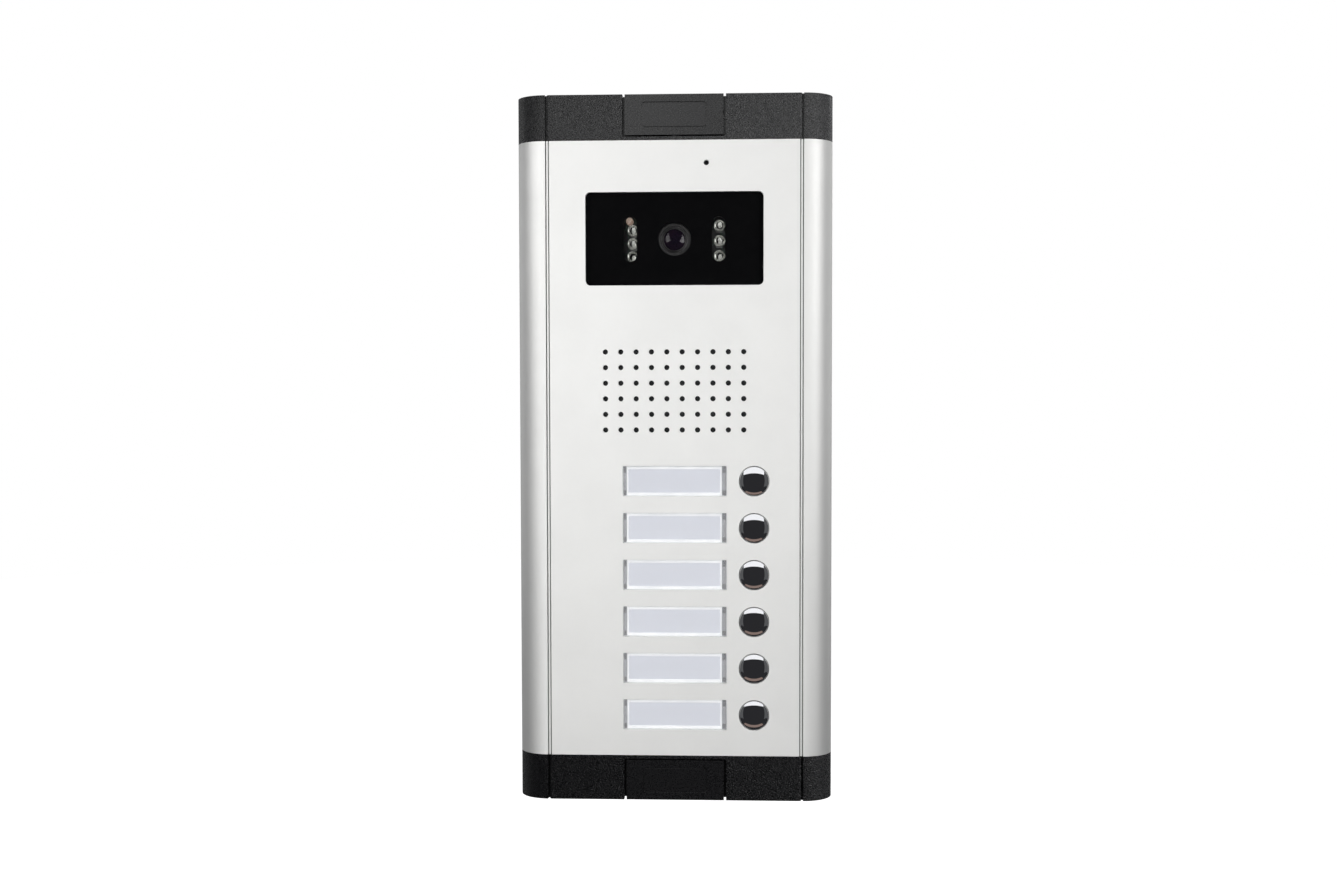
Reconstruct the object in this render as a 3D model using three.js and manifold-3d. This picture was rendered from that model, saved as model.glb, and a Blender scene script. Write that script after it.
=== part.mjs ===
// Surface-mounted door intercom panel for six flats: an aluminium extrusion closed by two moulded
// end caps, with a camera window, a loudspeaker grille, six name windows and six call buttons.
// Millimetres. X is to the right as a visitor sees it, Z is up, and Y points into the wall: the wall
// plane is y = 0 and the front plane is y = -DEPTH. The origin is the middle of the wall face.
import * as THREE from "three";
import { mergeVertices } from "three/addons/utils/BufferGeometryUtils.js";
import Module from "manifold-3d";

const wasm = await Module();
wasm.setup();

// ---------- driving dimensions ----------
const WIDTH = 130;
const HEIGHT = 290;
const DEPTH = 42;
const FRONT = -DEPTH; // y of the flat front plane
const BACK = -0.5; // y of the case's rear edge, just clear of the wall
const CLEAR = 0.1; // clearance between neighbouring pieces

// case cross-section
const HALF_WIDTH = WIDTH / 2;
const WALL = 2;
const SIDE_ARC = { across: 12.2, deep: 10 }; // quarter ellipse that rounds each long edge
const GROOVE = { inner: 51.2, outer: 52.8, deep: 0.8 }; // decorative line beside each rounded edge
const WEB_BACK = FRONT + WALL; // y of the front web's rear face
const ARC_STEPS = 8;
// Pairs of ribs inside the extrusion's side walls: |x| of the rib's tip, and its two faces.
const RIBS = [
  { tip: 57.5, front: -2.8, back: BACK }, // rear lip, behind the back cover
  { tip: 60, front: -7.2, back: -5.2 }, // holds the back cover against the lip
  { tip: 59, front: -14.2, back: -13 }, // the main board slides between this pair
  { tip: 59, front: -17.4, back: -16.2 },
];

// end caps, their screw pockets and the sliding screw covers
const CAP_HEIGHT = 18.6;
const CAP_WALL = 2.2;
const SEAM_Z = HEIGHT / 2 - CAP_HEIGHT; // where the extrusion ends and a cap begins
const TOP_Z = HEIGHT / 2;
const POCKET = { halfWidth: 21.1, sill: 1.5, frontDepth: 14, floor: -6.5, wall: 3 };
const RAIL = { halfWidth: 22.4, front: FRONT + 3.4, back: FRONT + 5 };
const COVER = { halfWidth: 20.15, sill: 2.1, skin: 1.8, flange: 5.2 };
const LABEL = { width: 26.4, height: 10.3, deep: 0.4, corner: 1.4 };
const FIXING_Z = SEAM_Z + 10.3; // fixing screw height
const CAP_SCREW = { x: 59.8, y: -20, hole: 1.7, shank: 1.35, head: 3, headDeep: 1.4, length: 32 };
const BOSS = { outer: 3.5, hole: 1.6 };
const FIXING_SCREW = { head: 3.9, headFront: -9.2, dome: 1, shank: 1.7, tip: -0.7, hole: 2.3 };

// camera window and what is behind it
const WINDOW = { width: 72.4, height: 37.8, z: 86.5, corner: 2.5 };
const MASK = { width: 77, height: 42, thick: 0.9 };
const SLOT = { x: 18.1, width: 5.4, height: 18.2 }; // clear strip in front of each row of lamps
const LENS_HOLE = { radius: 6.8, sides: 24 };
const CAMERA_BOX = { width: 66, height: 41, wall: 1.5, front: -38.9, back: -17.4 };
const STANDOFF = { x: 28, rise: 15, radius: 2 };
const LEAD_HOLE = { drop: 12, radius: 2 };
const IR_BOARD = { front: -30.6, back: -29.4, hole: 8.6 };
const CAMERA_BOARD = { half: 18.5, front: -20.6, back: -19 };
const LENS_MOUNT = { half: 8, foot: 2.7, collar: 7.4, bore: 6.1, front: -31.5 };
const LED = { radius: 2.3, tip: -38.8, perRow: 3 };
// Rows of infra-red lamps; the left one sits lower, to leave room for the light sensor above it.
const LED_ROWS = [
  { x: -17.3, top: 3.9, pitch: 5.4 },
  { x: 18.4, top: 5.8, pitch: 6.2 },
];
const LIGHT_SENSOR = { x: -18.8, rise: 8.2, radius: 1.5, tall: 3.3 };

// microphone and loudspeaker
const MIC = { x: 13.1, z: 117.2, hole: 0.95, capsule: 3, front: -39.2, back: -34.2 };
const MIC_BOOT = { radius: 4.5, back: -33.5 };
const GRILLE = { columns: 10, rows: 6, pitchX: 6.3, pitchZ: 6.4, z: 24.35, hole: 0.95, sides: 8 };
const SPEAKER_CLOTH = { halfWidth: 33, halfHeight: 20, thick: 0.35 };
const SPEAKER = { rim: 28.4, magnet: 14.8, magnetFront: -28.1, magnetBack: -19.2, sides: 24 };

// name windows and call buttons
const KEYS = 6;
const KEY_PITCH = 19.35;
const FIRST_KEY_Z = -12.66;
const NAME = { width: 42.8, height: 12.5, flange: 1.4 };
const BUTTON = { x: 32.6, radius: 6.2, hole: 6.45, apex: FRONT - 2.2, travel: 1.6, sides: 18 };
const BUTTON_FLANGE = { radius: 7.3, front: WEB_BACK + CLEAR, back: WEB_BACK + 1.1 };
const STEM = { radius: 2, end: -32.2, guide: 2.2 };
const SPRING = { radius: 3.4, wire: 0.3, turns: 3.5, stepsPerTurn: 8, sides: 4 };
const CARRIER = { halfWidth: 50, top: -6.5, bottom: -121, front: -34.5, back: -33 };
const POST = { x: 46, radius: 3, inset: 6 };
const KEY_BOARD = { halfWidth: 48, front: -26.6, back: -25 };
const SWITCH = { half: 3, front: -30, plunger: 1.75 };
const DIFFUSER = { halfWidth: 23.5, front: WEB_BACK + 1.1 }; // white sheet with the name cards

// main board, terminals, back cover and wall bracket
const MAIN_BOARD = { halfWidth: 62.4, top: 60, bottom: -80, front: -16, back: -14.4 };
const TERMINALS = { width: 41, top: -46, bottom: -60, ways: 8, rear: -6 };
const WIRE_MOUTH = { half: 1.5, front: 1.5, back: 5, deep: 5 };
const SCREW_WELL = { radius: 1.6, deep: 2 };
const BACK_COVER = { halfWidth: 62.6, front: -5, back: -3 };
const ACCESS = { halfWidth: 27, top: -36, bottom: -72 }; // cable window in the back cover
const BRACKET = { halfWidth: 50, halfHeight: 115, thick: 1.5, tongue: 14, reach: 142 };
const CABLE_WINDOW = { halfWidth: 25, top: -38, bottom: -70 };
const WALL_SLOT = { x: 38, z: 85, width: 5, height: 12 }; // four upright slots for wall screws
const BOX_SLOT = { x: 30, z: 20, width: 9, height: 4.6 }; // two slots for a flush wiring box
const COLLAR = { outer: 3.2, bore: 1.85, front: -4.3 }; // threaded collar for a fixing screw

// ---------- materials ----------
function material(color, roughness, metalness) {
  return new THREE.MeshStandardMaterial({ color, roughness, metalness });
}

const ALUMINIUM = material(0xe6e6e2, 0.42, 0.7);
const BLACK_PLASTIC = material(0x2c2d2f, 0.6, 0);
const STEEL = material(0xb4b6b8, 0.35, 0.9);
const CHROME = material(0xdadada, 0.06, 1);
const CLEAR_PLASTIC = material(0xdfe2ec, 0.08, 0);
const BLACK_PRINT = material(0x060607, 0.2, 0);
const LENS_GLASS = material(0x15121c, 0.03, 0);
const LABEL_WHITE = material(0xe4e5ee, 0.6, 0);
const GREEN_BOARD = material(0x1c5a35, 0.5, 0);
const TERMINAL_GREEN = material(0x3c8c4c, 0.5, 0);
const RUBBER = material(0x1b1b1c, 0.85, 0);
const PAPER_CONE = material(0x222222, 0.9, 0);
const CLOTH = material(0x1d1d1f, 0.95, 0);
const SENSOR_TAN = material(0xc9a27e, 0.5, 0);
const SPRING_STEEL = material(0xa9abad, 0.3, 1);
const RED_WIRE = material(0x9c2a24, 0.6, 0);
const GREY_WIRE = material(0x6e6f72, 0.6, 0);

// ---------- shape helpers ----------
function solidOf(geometry) {
  const bare = geometry.clone();
  bare.deleteAttribute("normal");
  bare.deleteAttribute("uv");
  const merged = mergeVertices(bare, 1e-4);
  return new wasm.Manifold(
    new wasm.Mesh({
      numProp: 3,
      vertProperties: new Float32Array(merged.attributes.position.array),
      triVerts: new Uint32Array(merged.index.array),
    }),
  );
}

function geometryOf(solid) {
  const mesh = solid.getMesh();
  const geometry = new THREE.BufferGeometry();
  geometry.setAttribute("position", new THREE.BufferAttribute(mesh.vertProperties, 3));
  geometry.setIndex(new THREE.BufferAttribute(mesh.triVerts, 1));
  geometry.computeVertexNormals();
  return geometry;
}

function block(x0, x1, y0, y1, z0, z1) {
  const geometry = new THREE.BoxGeometry(x1 - x0, y1 - y0, z1 - z0);
  geometry.translate((x0 + x1) / 2, (y0 + y1) / 2, (z0 + z1) / 2);
  return solidOf(geometry);
}

// A block centred on x = 0.
function slab(halfWidth, y0, y1, z0, z1) {
  return block(-halfWidth, halfWidth, y0, y1, z0, z1);
}

// A cylinder along Y at (x, z).
function rod(x, z, radius, y0, y1, sides = 12) {
  const geometry = new THREE.CylinderGeometry(radius, radius, y1 - y0, sides);
  geometry.translate(x, (y0 + y1) / 2, z);
  return solidOf(geometry);
}

// A cylinder along Z at (x, y).
function pillar(x, y, radius, z0, z1, sides = 12) {
  const geometry = new THREE.CylinderGeometry(radius, radius, z1 - z0, sides);
  geometry.rotateX(Math.PI / 2);
  geometry.translate(x, y, (z0 + z1) / 2);
  return solidOf(geometry);
}

// A body of revolution about Y: pairs of radius and y, outwards from the front of the axis to its back.
function turned(profile, sides) {
  const points = profile.map(([r, y]) => new THREE.Vector2(r, y));
  return solidOf(new THREE.LatheGeometry(points, sides));
}

// A shape drawn in X and Y, extruded upwards.
function risen(shape, z0, z1) {
  const options = { depth: z1 - z0, bevelEnabled: false, curveSegments: ARC_STEPS };
  const geometry = new THREE.ExtrudeGeometry(shape, options);
  geometry.translate(0, 0, z0);
  return solidOf(geometry);
}

// A rectangle with rounded corners in X and Z, extruded along Y.
function plate(x, z, width, height, corner, y0, y1) {
  const w = width / 2;
  const h = height / 2;
  const shape = new THREE.Shape();
  shape.absarc(w - corner, h - corner, corner, 0, Math.PI / 2);
  shape.absarc(corner - w, h - corner, corner, Math.PI / 2, Math.PI);
  shape.absarc(corner - w, corner - h, corner, Math.PI, 1.5 * Math.PI);
  shape.absarc(w - corner, corner - h, corner, 1.5 * Math.PI, 2 * Math.PI);
  const options = { depth: y1 - y0, bevelEnabled: false, curveSegments: 3 };
  const geometry = new THREE.ExtrudeGeometry(shape, options);
  geometry.rotateX(Math.PI / 2);
  geometry.translate(x, y1, z);
  return solidOf(geometry);
}

// A round wire along a smooth curve through points.
function wire(points, radius, sides, steps) {
  const section = new THREE.Shape();
  for (let i = 0; i < sides; i += 1) {
    const angle = (2 * Math.PI * i) / sides;
    const place = [radius * Math.cos(angle), radius * Math.sin(angle)];
    if (i === 0) section.moveTo(...place);
    else section.lineTo(...place);
  }
  const extrudePath = new THREE.CatmullRomCurve3(points.map((p) => new THREE.Vector3(...p)));
  return solidOf(new THREE.ExtrudeGeometry(section, { steps, bevelEnabled: false, extrudePath }));
}

function joined(...solids) {
  return solids.reduce((whole, part) => whole.add(part));
}

function cut(solid, ...tools) {
  return tools.reduce((rest, tool) => rest.subtract(tool), solid);
}

const keyZ = (index) => FIRST_KEY_Z - index * KEY_PITCH;
const keyIndices = Array.from({ length: KEYS }, (_, index) => index);

// ---------- case ----------
// The case's outline in X and Y, drawn `inset` inside the outer surface and closed at `rear`.
function caseOutline(inset, rear) {
  const side = HALF_WIDTH - inset;
  const front = FRONT + inset;
  const centre = FRONT + SIDE_ARC.deep;
  const across = SIDE_ARC.across - inset;
  const deep = SIDE_ARC.deep - inset;
  const shape = new THREE.Shape();
  shape.moveTo(-side, rear);
  shape.lineTo(-side, centre);
  shape.absellipse(-GROOVE.outer, centre, across, deep, Math.PI, 1.5 * Math.PI, false, 0);
  shape.lineTo(GROOVE.outer, front);
  shape.absellipse(GROOVE.outer, centre, across, deep, 1.5 * Math.PI, 2 * Math.PI, false, 0);
  shape.lineTo(side, rear);
  shape.closePath();
  return shape;
}

// The two decorative grooves, as cutting tools between two heights.
function grooves(z0, z1) {
  const floor = FRONT + GROOVE.deep;
  return [
    block(GROOVE.inner, GROOVE.outer, FRONT - 1, floor, z0, z1),
    block(-GROOVE.outer, -GROOVE.inner, FRONT - 1, floor, z0, z1),
  ];
}

// The ribs on both inner walls of the extrusion.
function ribs() {
  const root = HALF_WIDTH - WALL / 2;
  return RIBS.flatMap(({ tip, front, back }) => [
    block(tip, root, front, back, -SEAM_Z, SEAM_Z),
    block(-root, -tip, front, back, -SEAM_Z, SEAM_Z),
  ]);
}

function grilleHoles() {
  const holes = [];
  for (let row = 0; row < GRILLE.rows; row += 1) {
    for (let column = 0; column < GRILLE.columns; column += 1) {
      const x = (column - (GRILLE.columns - 1) / 2) * GRILLE.pitchX;
      const z = GRILLE.z + (row - (GRILLE.rows - 1) / 2) * GRILLE.pitchZ;
      holes.push(rod(x, z, GRILLE.hole, FRONT - 1, WEB_BACK + 1, GRILLE.sides));
    }
  }
  return wasm.Manifold.union(holes);
}

function keyOpenings() {
  return keyIndices.flatMap((index) => [
    block(-NAME.width / 2, NAME.width / 2, FRONT - 1, WEB_BACK + 1,
      keyZ(index) - NAME.height / 2, keyZ(index) + NAME.height / 2),
    rod(BUTTON.x, keyZ(index), BUTTON.hole, FRONT - 1, WEB_BACK + 1, BUTTON.sides),
  ]);
}

function frontExtrusion() {
  const shell = cut(
    risen(caseOutline(0, BACK), -SEAM_Z, SEAM_Z),
    risen(caseOutline(WALL, 1), -SEAM_Z - 1, SEAM_Z + 1),
  );
  const boss = (x) => pillar(x, CAP_SCREW.y, BOSS.outer, -SEAM_Z, SEAM_Z);
  const bore = (x) => pillar(x, CAP_SCREW.y, BOSS.hole, -SEAM_Z - 1, SEAM_Z + 1, 8);
  const frame = joined(shell, ...ribs(), boss(CAP_SCREW.x), boss(-CAP_SCREW.x));
  const window = plate(0, WINDOW.z, WINDOW.width, WINDOW.height, WINDOW.corner,
    FRONT - 1, WEB_BACK + 1);
  return cut(
    frame,
    bore(CAP_SCREW.x),
    bore(-CAP_SCREW.x),
    ...grooves(-SEAM_Z - 1, SEAM_Z + 1),
    window,
    rod(MIC.x, MIC.z, MIC.hole, FRONT - 1, WEB_BACK + 1, GRILLE.sides),
    grilleHoles(),
    ...keyOpenings(),
  );
}

// ---------- end caps and what they hold ----------
// All of these are drawn at the top end; the bottom end is their mirror image.
function endCap() {
  const foot = SEAM_Z + CLEAR;
  const roof = TOP_Z - CAP_WALL;
  const hollow = cut(
    risen(caseOutline(0, BACK), foot, TOP_Z),
    risen(caseOutline(CAP_WALL, BACK - CAP_WALL), foot - 1, roof),
  );
  const well = slab(POCKET.halfWidth + POCKET.wall, WEB_BACK - 1, BACK - 1, foot, TOP_Z - 1);
  const screwPost = (x) => pillar(x, CAP_SCREW.y, BOSS.outer, foot, TOP_Z - 1);
  const sill = SEAM_Z + POCKET.sill;
  const frontMouth = FRONT + POCKET.frontDepth;
  const screwHole = (x) => pillar(x, CAP_SCREW.y, CAP_SCREW.hole, foot - 1, TOP_Z + 1, 8);
  const headSeat = (x) =>
    pillar(x, CAP_SCREW.y, CAP_SCREW.head + 0.2, TOP_Z - CAP_SCREW.headDeep - CLEAR, TOP_Z + 1);
  return cut(
    joined(hollow, well, screwPost(CAP_SCREW.x), screwPost(-CAP_SCREW.x)),
    slab(POCKET.halfWidth, FRONT - 1, frontMouth, sill, TOP_Z + 1),
    slab(POCKET.halfWidth, frontMouth - 0.1, POCKET.floor, sill, roof),
    slab(RAIL.halfWidth, RAIL.front, RAIL.back, sill, TOP_Z + 1),
    rod(0, FIXING_Z, FIXING_SCREW.hole, POCKET.floor - 1, 1),
    rod(0, FIXING_Z, COLLAR.outer + 0.5, COLLAR.front - 0.2, 1),
    slab(BRACKET.tongue + 1, -BRACKET.thick - 0.2, 1, foot - 1, BRACKET.reach + 1.5),
    screwHole(CAP_SCREW.x),
    screwHole(-CAP_SCREW.x),
    headSeat(CAP_SCREW.x),
    headSeat(-CAP_SCREW.x),
    ...grooves(foot - 1, TOP_Z + 1),
  );
}

function screwCover() {
  const foot = SEAM_Z + COVER.sill;
  const rear = FRONT + POCKET.frontDepth - 0.4;
  const half = COVER.halfWidth;
  const face = slab(half, FRONT, FRONT + COVER.skin, foot, TOP_Z);
  const roof = slab(half, FRONT, rear, TOP_Z - COVER.skin, TOP_Z);
  const flanges = [-1, 1].map((side) => {
    const inner = side * (half - 1.6);
    const outer = side * half;
    return block(Math.min(inner, outer), Math.max(inner, outer),
      FRONT, FRONT + COVER.flange, foot, TOP_Z);
  });
  const tongues = slab(RAIL.halfWidth - 0.3, RAIL.front + 0.2, RAIL.back - 0.2, foot, TOP_Z - 1);
  const between = slab(half - 1.6, RAIL.front, RAIL.back, foot - 1, TOP_Z - COVER.skin);
  const label = plate(0, (foot + TOP_Z) / 2, LABEL.width, LABEL.height, LABEL.corner,
    FRONT - 1, FRONT + LABEL.deep);
  return cut(joined(face, roof, ...flanges, cut(tongues, between)), label);
}

// A pan-head machine screw along Y that clamps the cap to the wall bracket.
function fixingScrew() {
  const { head, headFront, dome, shank, tip } = FIXING_SCREW;
  const seat = POCKET.floor - CLEAR;
  const body = turned(
    [[0, headFront], [head * 0.7, headFront], [head, headFront + dome], [head, seat],
      [shank, seat], [shank, tip], [0, tip]],
    12,
  );
  const drive = (w, h) => slab(w, headFront - 1, headFront + 1.5, -h, h);
  const cross = joined(drive(2, 0.45), drive(0.45, 2));
  return cut(body, cross);
}

// A flush-headed self-tapping screw along Z, from the cap's end face into the extrusion's boss.
function capScrew(side) {
  const x = side * CAP_SCREW.x;
  const headFoot = TOP_Z - CAP_SCREW.headDeep;
  const head = pillar(x, CAP_SCREW.y, CAP_SCREW.head, headFoot, TOP_Z - CLEAR);
  const shank = pillar(x, CAP_SCREW.y, CAP_SCREW.shank, TOP_Z - CAP_SCREW.length, headFoot + 0.5, 8);
  const slot = block(x - 2.2, x + 2.2, CAP_SCREW.y - 0.4, CAP_SCREW.y + 0.4, TOP_Z - 1, TOP_Z + 1);
  return cut(joined(head, shank), slot);
}

// ---------- back cover and wall bracket ----------
function backCover() {
  const { halfWidth, front, back } = BACK_COVER;
  return cut(
    slab(halfWidth, front, back, -SEAM_Z + CLEAR, SEAM_Z - CLEAR),
    slab(ACCESS.halfWidth, front - 1, back + 1, ACCESS.bottom, ACCESS.top),
  );
}

function wallBracket() {
  const { halfWidth, halfHeight, thick, tongue, reach } = BRACKET;
  const sheet = joined(
    slab(halfWidth, -thick, 0, -halfHeight, halfHeight),
    slab(tongue, -thick, 0, -reach, reach),
    rod(0, FIXING_Z, COLLAR.outer, COLLAR.front, 0),
    rod(0, -FIXING_Z, COLLAR.outer, COLLAR.front, 0),
  );
  const slot = ({ x, width, height }, side, z) =>
    plate(side * x, z, width, height, Math.min(width, height) / 2 - CLEAR, -thick - 1, 1);
  const slots = [-1, 1].flatMap((side) => [
    slot(WALL_SLOT, side, WALL_SLOT.z),
    slot(WALL_SLOT, side, -WALL_SLOT.z),
    slot(BOX_SLOT, side, BOX_SLOT.z),
  ]);
  return cut(
    sheet,
    ...slots,
    slab(CABLE_WINDOW.halfWidth, -thick - 1, 1, CABLE_WINDOW.bottom, CABLE_WINDOW.top),
    rod(0, FIXING_Z, COLLAR.bore, COLLAR.front - 1, 1),
    rod(0, -FIXING_Z, COLLAR.bore, COLLAR.front - 1, 1),
  );
}

// ---------- camera ----------
function cameraWindow() {
  return plate(0, WINDOW.z, WINDOW.width - 0.3, WINDOW.height - 0.3, WINDOW.corner - 0.1,
    FRONT + CLEAR, WEB_BACK);
}

function windowMask() {
  const y0 = WEB_BACK + CLEAR;
  const y1 = y0 + MASK.thick;
  const slot = (x) => plate(x, WINDOW.z, SLOT.width, SLOT.height, SLOT.width / 2 - CLEAR,
    y0 - 1, y1 + 1);
  return cut(
    plate(0, WINDOW.z, MASK.width, MASK.height, 1.5, y0, y1),
    slot(-SLOT.x),
    slot(SLOT.x),
    rod(0, WINDOW.z, LENS_HOLE.radius, y0 - 1, y1 + 1, LENS_HOLE.sides),
  );
}

function cameraHousing() {
  const { width, height, wall, front, back } = CAMERA_BOX;
  const tray = cut(
    plate(0, WINDOW.z, width, height, 2, front, back),
    plate(0, WINDOW.z, width - 2 * wall, height - 2 * wall, 1, front - 1, back - wall),
  );
  const { x, rise, radius } = STANDOFF;
  const standoffs = [-x, x].flatMap((place) => [-rise, rise].map((up) =>
    rod(place, WINDOW.z + up, radius, IR_BOARD.back + CLEAR, back - wall / 2, 8)));
  const leadHole = rod(0, WINDOW.z - LEAD_HOLE.drop, LEAD_HOLE.radius, back - wall - 1, back + 1, 8);
  return cut(joined(tray, ...standoffs), leadHole);
}

function irBoard() {
  const inner = CAMERA_BOX.width / 2 - CAMERA_BOX.wall - 0.3;
  const rise = CAMERA_BOX.height / 2 - CAMERA_BOX.wall - 0.3;
  return cut(
    slab(inner, IR_BOARD.front, IR_BOARD.back, WINDOW.z - rise, WINDOW.z + rise),
    rod(0, WINDOW.z, IR_BOARD.hole, IR_BOARD.front - 1, IR_BOARD.back + 1, 16),
  );
}

function irLamp() {
  const { radius, tip } = LED;
  const shoulder = tip + radius;
  const dome = [0, 30, 60, 90].map((degrees) => {
    const angle = THREE.MathUtils.degToRad(degrees);
    return [radius * Math.sin(angle), shoulder - radius * Math.cos(angle)];
  });
  return turned([...dome, [radius, IR_BOARD.front - CLEAR], [0, IR_BOARD.front - CLEAR]], 10);
}

function lightSensor() {
  const { radius, tall } = LIGHT_SENSOR;
  const foot = IR_BOARD.front - CLEAR;
  const front = foot - tall;
  return turned([[0, front], [radius - 0.3, front], [radius, front + 0.4], [radius, foot], [0, foot]],
    10);
}

function cameraBoard() {
  const { half, front, back } = CAMERA_BOARD;
  return slab(half, front, back, WINDOW.z - half, WINDOW.z + half);
}

function lensMount() {
  const back = CAMERA_BOARD.front - CLEAR;
  const { half, foot, collar, bore, front } = LENS_MOUNT;
  return cut(
    joined(
      slab(half, back - foot, back, WINDOW.z - half, WINDOW.z + half),
      rod(0, WINDOW.z, collar, front, back - 1, 16),
    ),
    rod(0, WINDOW.z, bore, front - 1, back + 1, 16),
  );
}

function lensBarrel() {
  return turned([[0, -36.6], [4.6, -36.6], [5.4, -38.4], [6.9, -38.4], [6.9, -33],
    [5.95, -33], [5.95, -24], [0, -24]], 16);
}

function lensGlass() {
  return turned([[0, -38.2], [2.3, -37.95], [3.9, -37.4], [4.5, -36.9], [0, -36.75]], 16);
}

// ---------- sound ----------
function micBoot() {
  const { x, z, capsule, front } = MIC;
  return cut(
    rod(x, z, MIC_BOOT.radius, WEB_BACK + CLEAR, MIC_BOOT.back, 16),
    rod(x, z, capsule + CLEAR, front - CLEAR, MIC_BOOT.back + 1, 16),
    rod(x, z, MIC.hole, WEB_BACK - 1, front + 1, 8),
  );
}

function microphone() {
  return rod(MIC.x, MIC.z, MIC.capsule, MIC.front, MIC.back, 16);
}

function speakerFrame() {
  return turned([[0, -29.2], [13.5, -29.2], [24.8, -38.2], [24.8, -39.5], [SPEAKER.rim, -39.5],
    [SPEAKER.rim, -38.3], [25.6, -38.3], [14.5, -28.2], [0, -28.2]], SPEAKER.sides);
}

function speakerCone() {
  return turned([[0, -34.8], [5, -34.2], [8, -32.6], [22.5, -38], [24.3, -38.6], [24.3, -38.1],
    [22.4, -37.3], [8.2, -31.6], [0, -31.6]], SPEAKER.sides);
}

function speakerMagnet() {
  const { magnet, magnetFront, magnetBack } = SPEAKER;
  return turned([[0, magnetFront], [magnet, magnetFront], [magnet, magnetBack], [0, magnetBack]], 16);
}

function speakerMesh() {
  const { halfWidth, halfHeight, thick } = SPEAKER_CLOTH;
  const front = WEB_BACK + CLEAR / 2;
  return slab(halfWidth, front, front + thick, GRILLE.z - halfHeight, GRILLE.z + halfHeight);
}

// ---------- keys, drawn at z = 0 ----------
function nameWindow() {
  const { width, height, flange } = NAME;
  return joined(
    slab(width / 2 - 0.15, FRONT + 0.2, WEB_BACK + 0.5, 0.15 - height / 2, height / 2 - 0.15),
    slab(width / 2 + flange, WEB_BACK + 0.05, WEB_BACK + 1, -height / 2 - 1, height / 2 + 1),
  );
}

function callButton() {
  const { radius, apex, sides } = BUTTON;
  const { radius: flange, front, back } = BUTTON_FLANGE;
  return turned([[0, apex], [2.2, apex + 0.22], [4.2, apex + 0.85], [5.6, apex + 1.6],
    [radius, apex + 2.4], [radius, front], [flange, front], [flange, back],
    [STEM.radius, back], [STEM.radius, STEM.end], [0, STEM.end]], sides);
}

function returnSpring() {
  const { radius, wire: thick, turns, stepsPerTurn, sides } = SPRING;
  const front = BUTTON_FLANGE.back + thick + CLEAR;
  const back = CARRIER.front - thick - CLEAR;
  const count = Math.round(turns * stepsPerTurn);
  const points = Array.from({ length: count + 1 }, (_, step) => {
    const angle = (2 * Math.PI * step) / stepsPerTurn;
    return [radius * Math.cos(angle), front + ((back - front) * step) / count,
      radius * Math.sin(angle)];
  });
  return wire(points, thick, sides, count);
}

function buttonCarrier() {
  const { halfWidth, top, bottom, front, back } = CARRIER;
  const posts = [-POST.x, POST.x].flatMap((x) => [top - POST.inset, bottom + POST.inset].map((z) =>
    rod(x, z, POST.radius, WEB_BACK + CLEAR, KEY_BOARD.front - CLEAR, 10)));
  const guides = keyIndices.map((index) =>
    rod(BUTTON.x, keyZ(index), STEM.guide, front - 1, back + 1, 12));
  return cut(joined(slab(halfWidth, front, back, bottom, top), ...posts), ...guides);
}

function labelDiffuser() {
  const { halfWidth, front } = DIFFUSER;
  return slab(halfWidth, front, CARRIER.front - CLEAR, CARRIER.bottom + 3, CARRIER.top);
}

function keyBoard() {
  const { halfWidth, front, back } = KEY_BOARD;
  const board = slab(halfWidth, front, back, CARRIER.bottom + 1, CARRIER.top - 1);
  const plungerFront = STEM.end + BUTTON.travel + CLEAR; // each switch as it is when pressed home
  const { half, plunger } = SWITCH;
  const switches = keyIndices.flatMap((index) => {
    const z = keyZ(index);
    return [
      block(BUTTON.x - half, BUTTON.x + half, SWITCH.front, front + 0.5, z - half, z + half),
      rod(BUTTON.x, z, plunger, plungerFront, SWITCH.front + 0.5, 8),
    ];
  });
  return joined(board, ...switches);
}

// ---------- main board and wiring ----------
function mainBoard() {
  const { halfWidth, top, bottom, front, back } = MAIN_BOARD;
  const fit = front + 0.4; // components are soldered down, so they sink into the board a little
  return joined(
    slab(halfWidth, front, back, bottom, top),
    block(-40, -21, -23.5, fit, -36, -21), // lock relay
    block(-5, 9, -18.2, fit, -40, -26), // audio switch chip
    rod(24, -30, 4, -24, fit), // supply capacitor
    rod(35, -30, 4, -24, fit),
    block(26, 34, -19.5, fit, -8, 2), // loudspeaker socket
    block(-6, 6, -19.5, fit, 52, 58), // camera socket
    block(14, 22, -19.5, fit, 50, 56), // microphone socket
    block(-44, -20, KEY_BOARD.back + CLEAR, fit, -77, -72), // header that joins the key board
  );
}

function terminalBlock() {
  const { width, top, bottom, ways, rear } = TERMINALS;
  const front = MAIN_BOARD.back + CLEAR;
  const pitch = width / ways;
  const openings = Array.from({ length: ways }, (_, way) => {
    const x = (way - (ways - 1) / 2) * pitch;
    const { half, deep } = WIRE_MOUTH;
    return [
      block(x - half, x + half, front + WIRE_MOUTH.front, front + WIRE_MOUTH.back,
        bottom - 1, bottom + deep),
      rod(x, (top + bottom) / 2, SCREW_WELL.radius, rear - SCREW_WELL.deep, rear + 1, 8),
    ];
  });
  return cut(slab(width / 2, front, rear, bottom, top), ...openings.flat());
}

function speakerLead() {
  return wire([[16, -27.4, 8], [18, -25.4, 6.6], [22, -24, 4], [28.6, -23, 0], [30, -21.8, -2.4],
    [30, -20.2, -3]], 0.7, 8, 10);
}

function cameraLead() {
  const z = WINDOW.z - LEAD_HOLE.drop;
  return wire([[0, -18.9, z], [0, -17.2, z], [0, -14.6, z - 1.4], [0, -13.2, z - 6],
    [0, -14.6, 62.6], [0, -17.4, 61.6], [0, -20.6, 60], [0, -22, 57.4], [0, -20.4, 55]],
    0.8, 8, 18);
}

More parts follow.
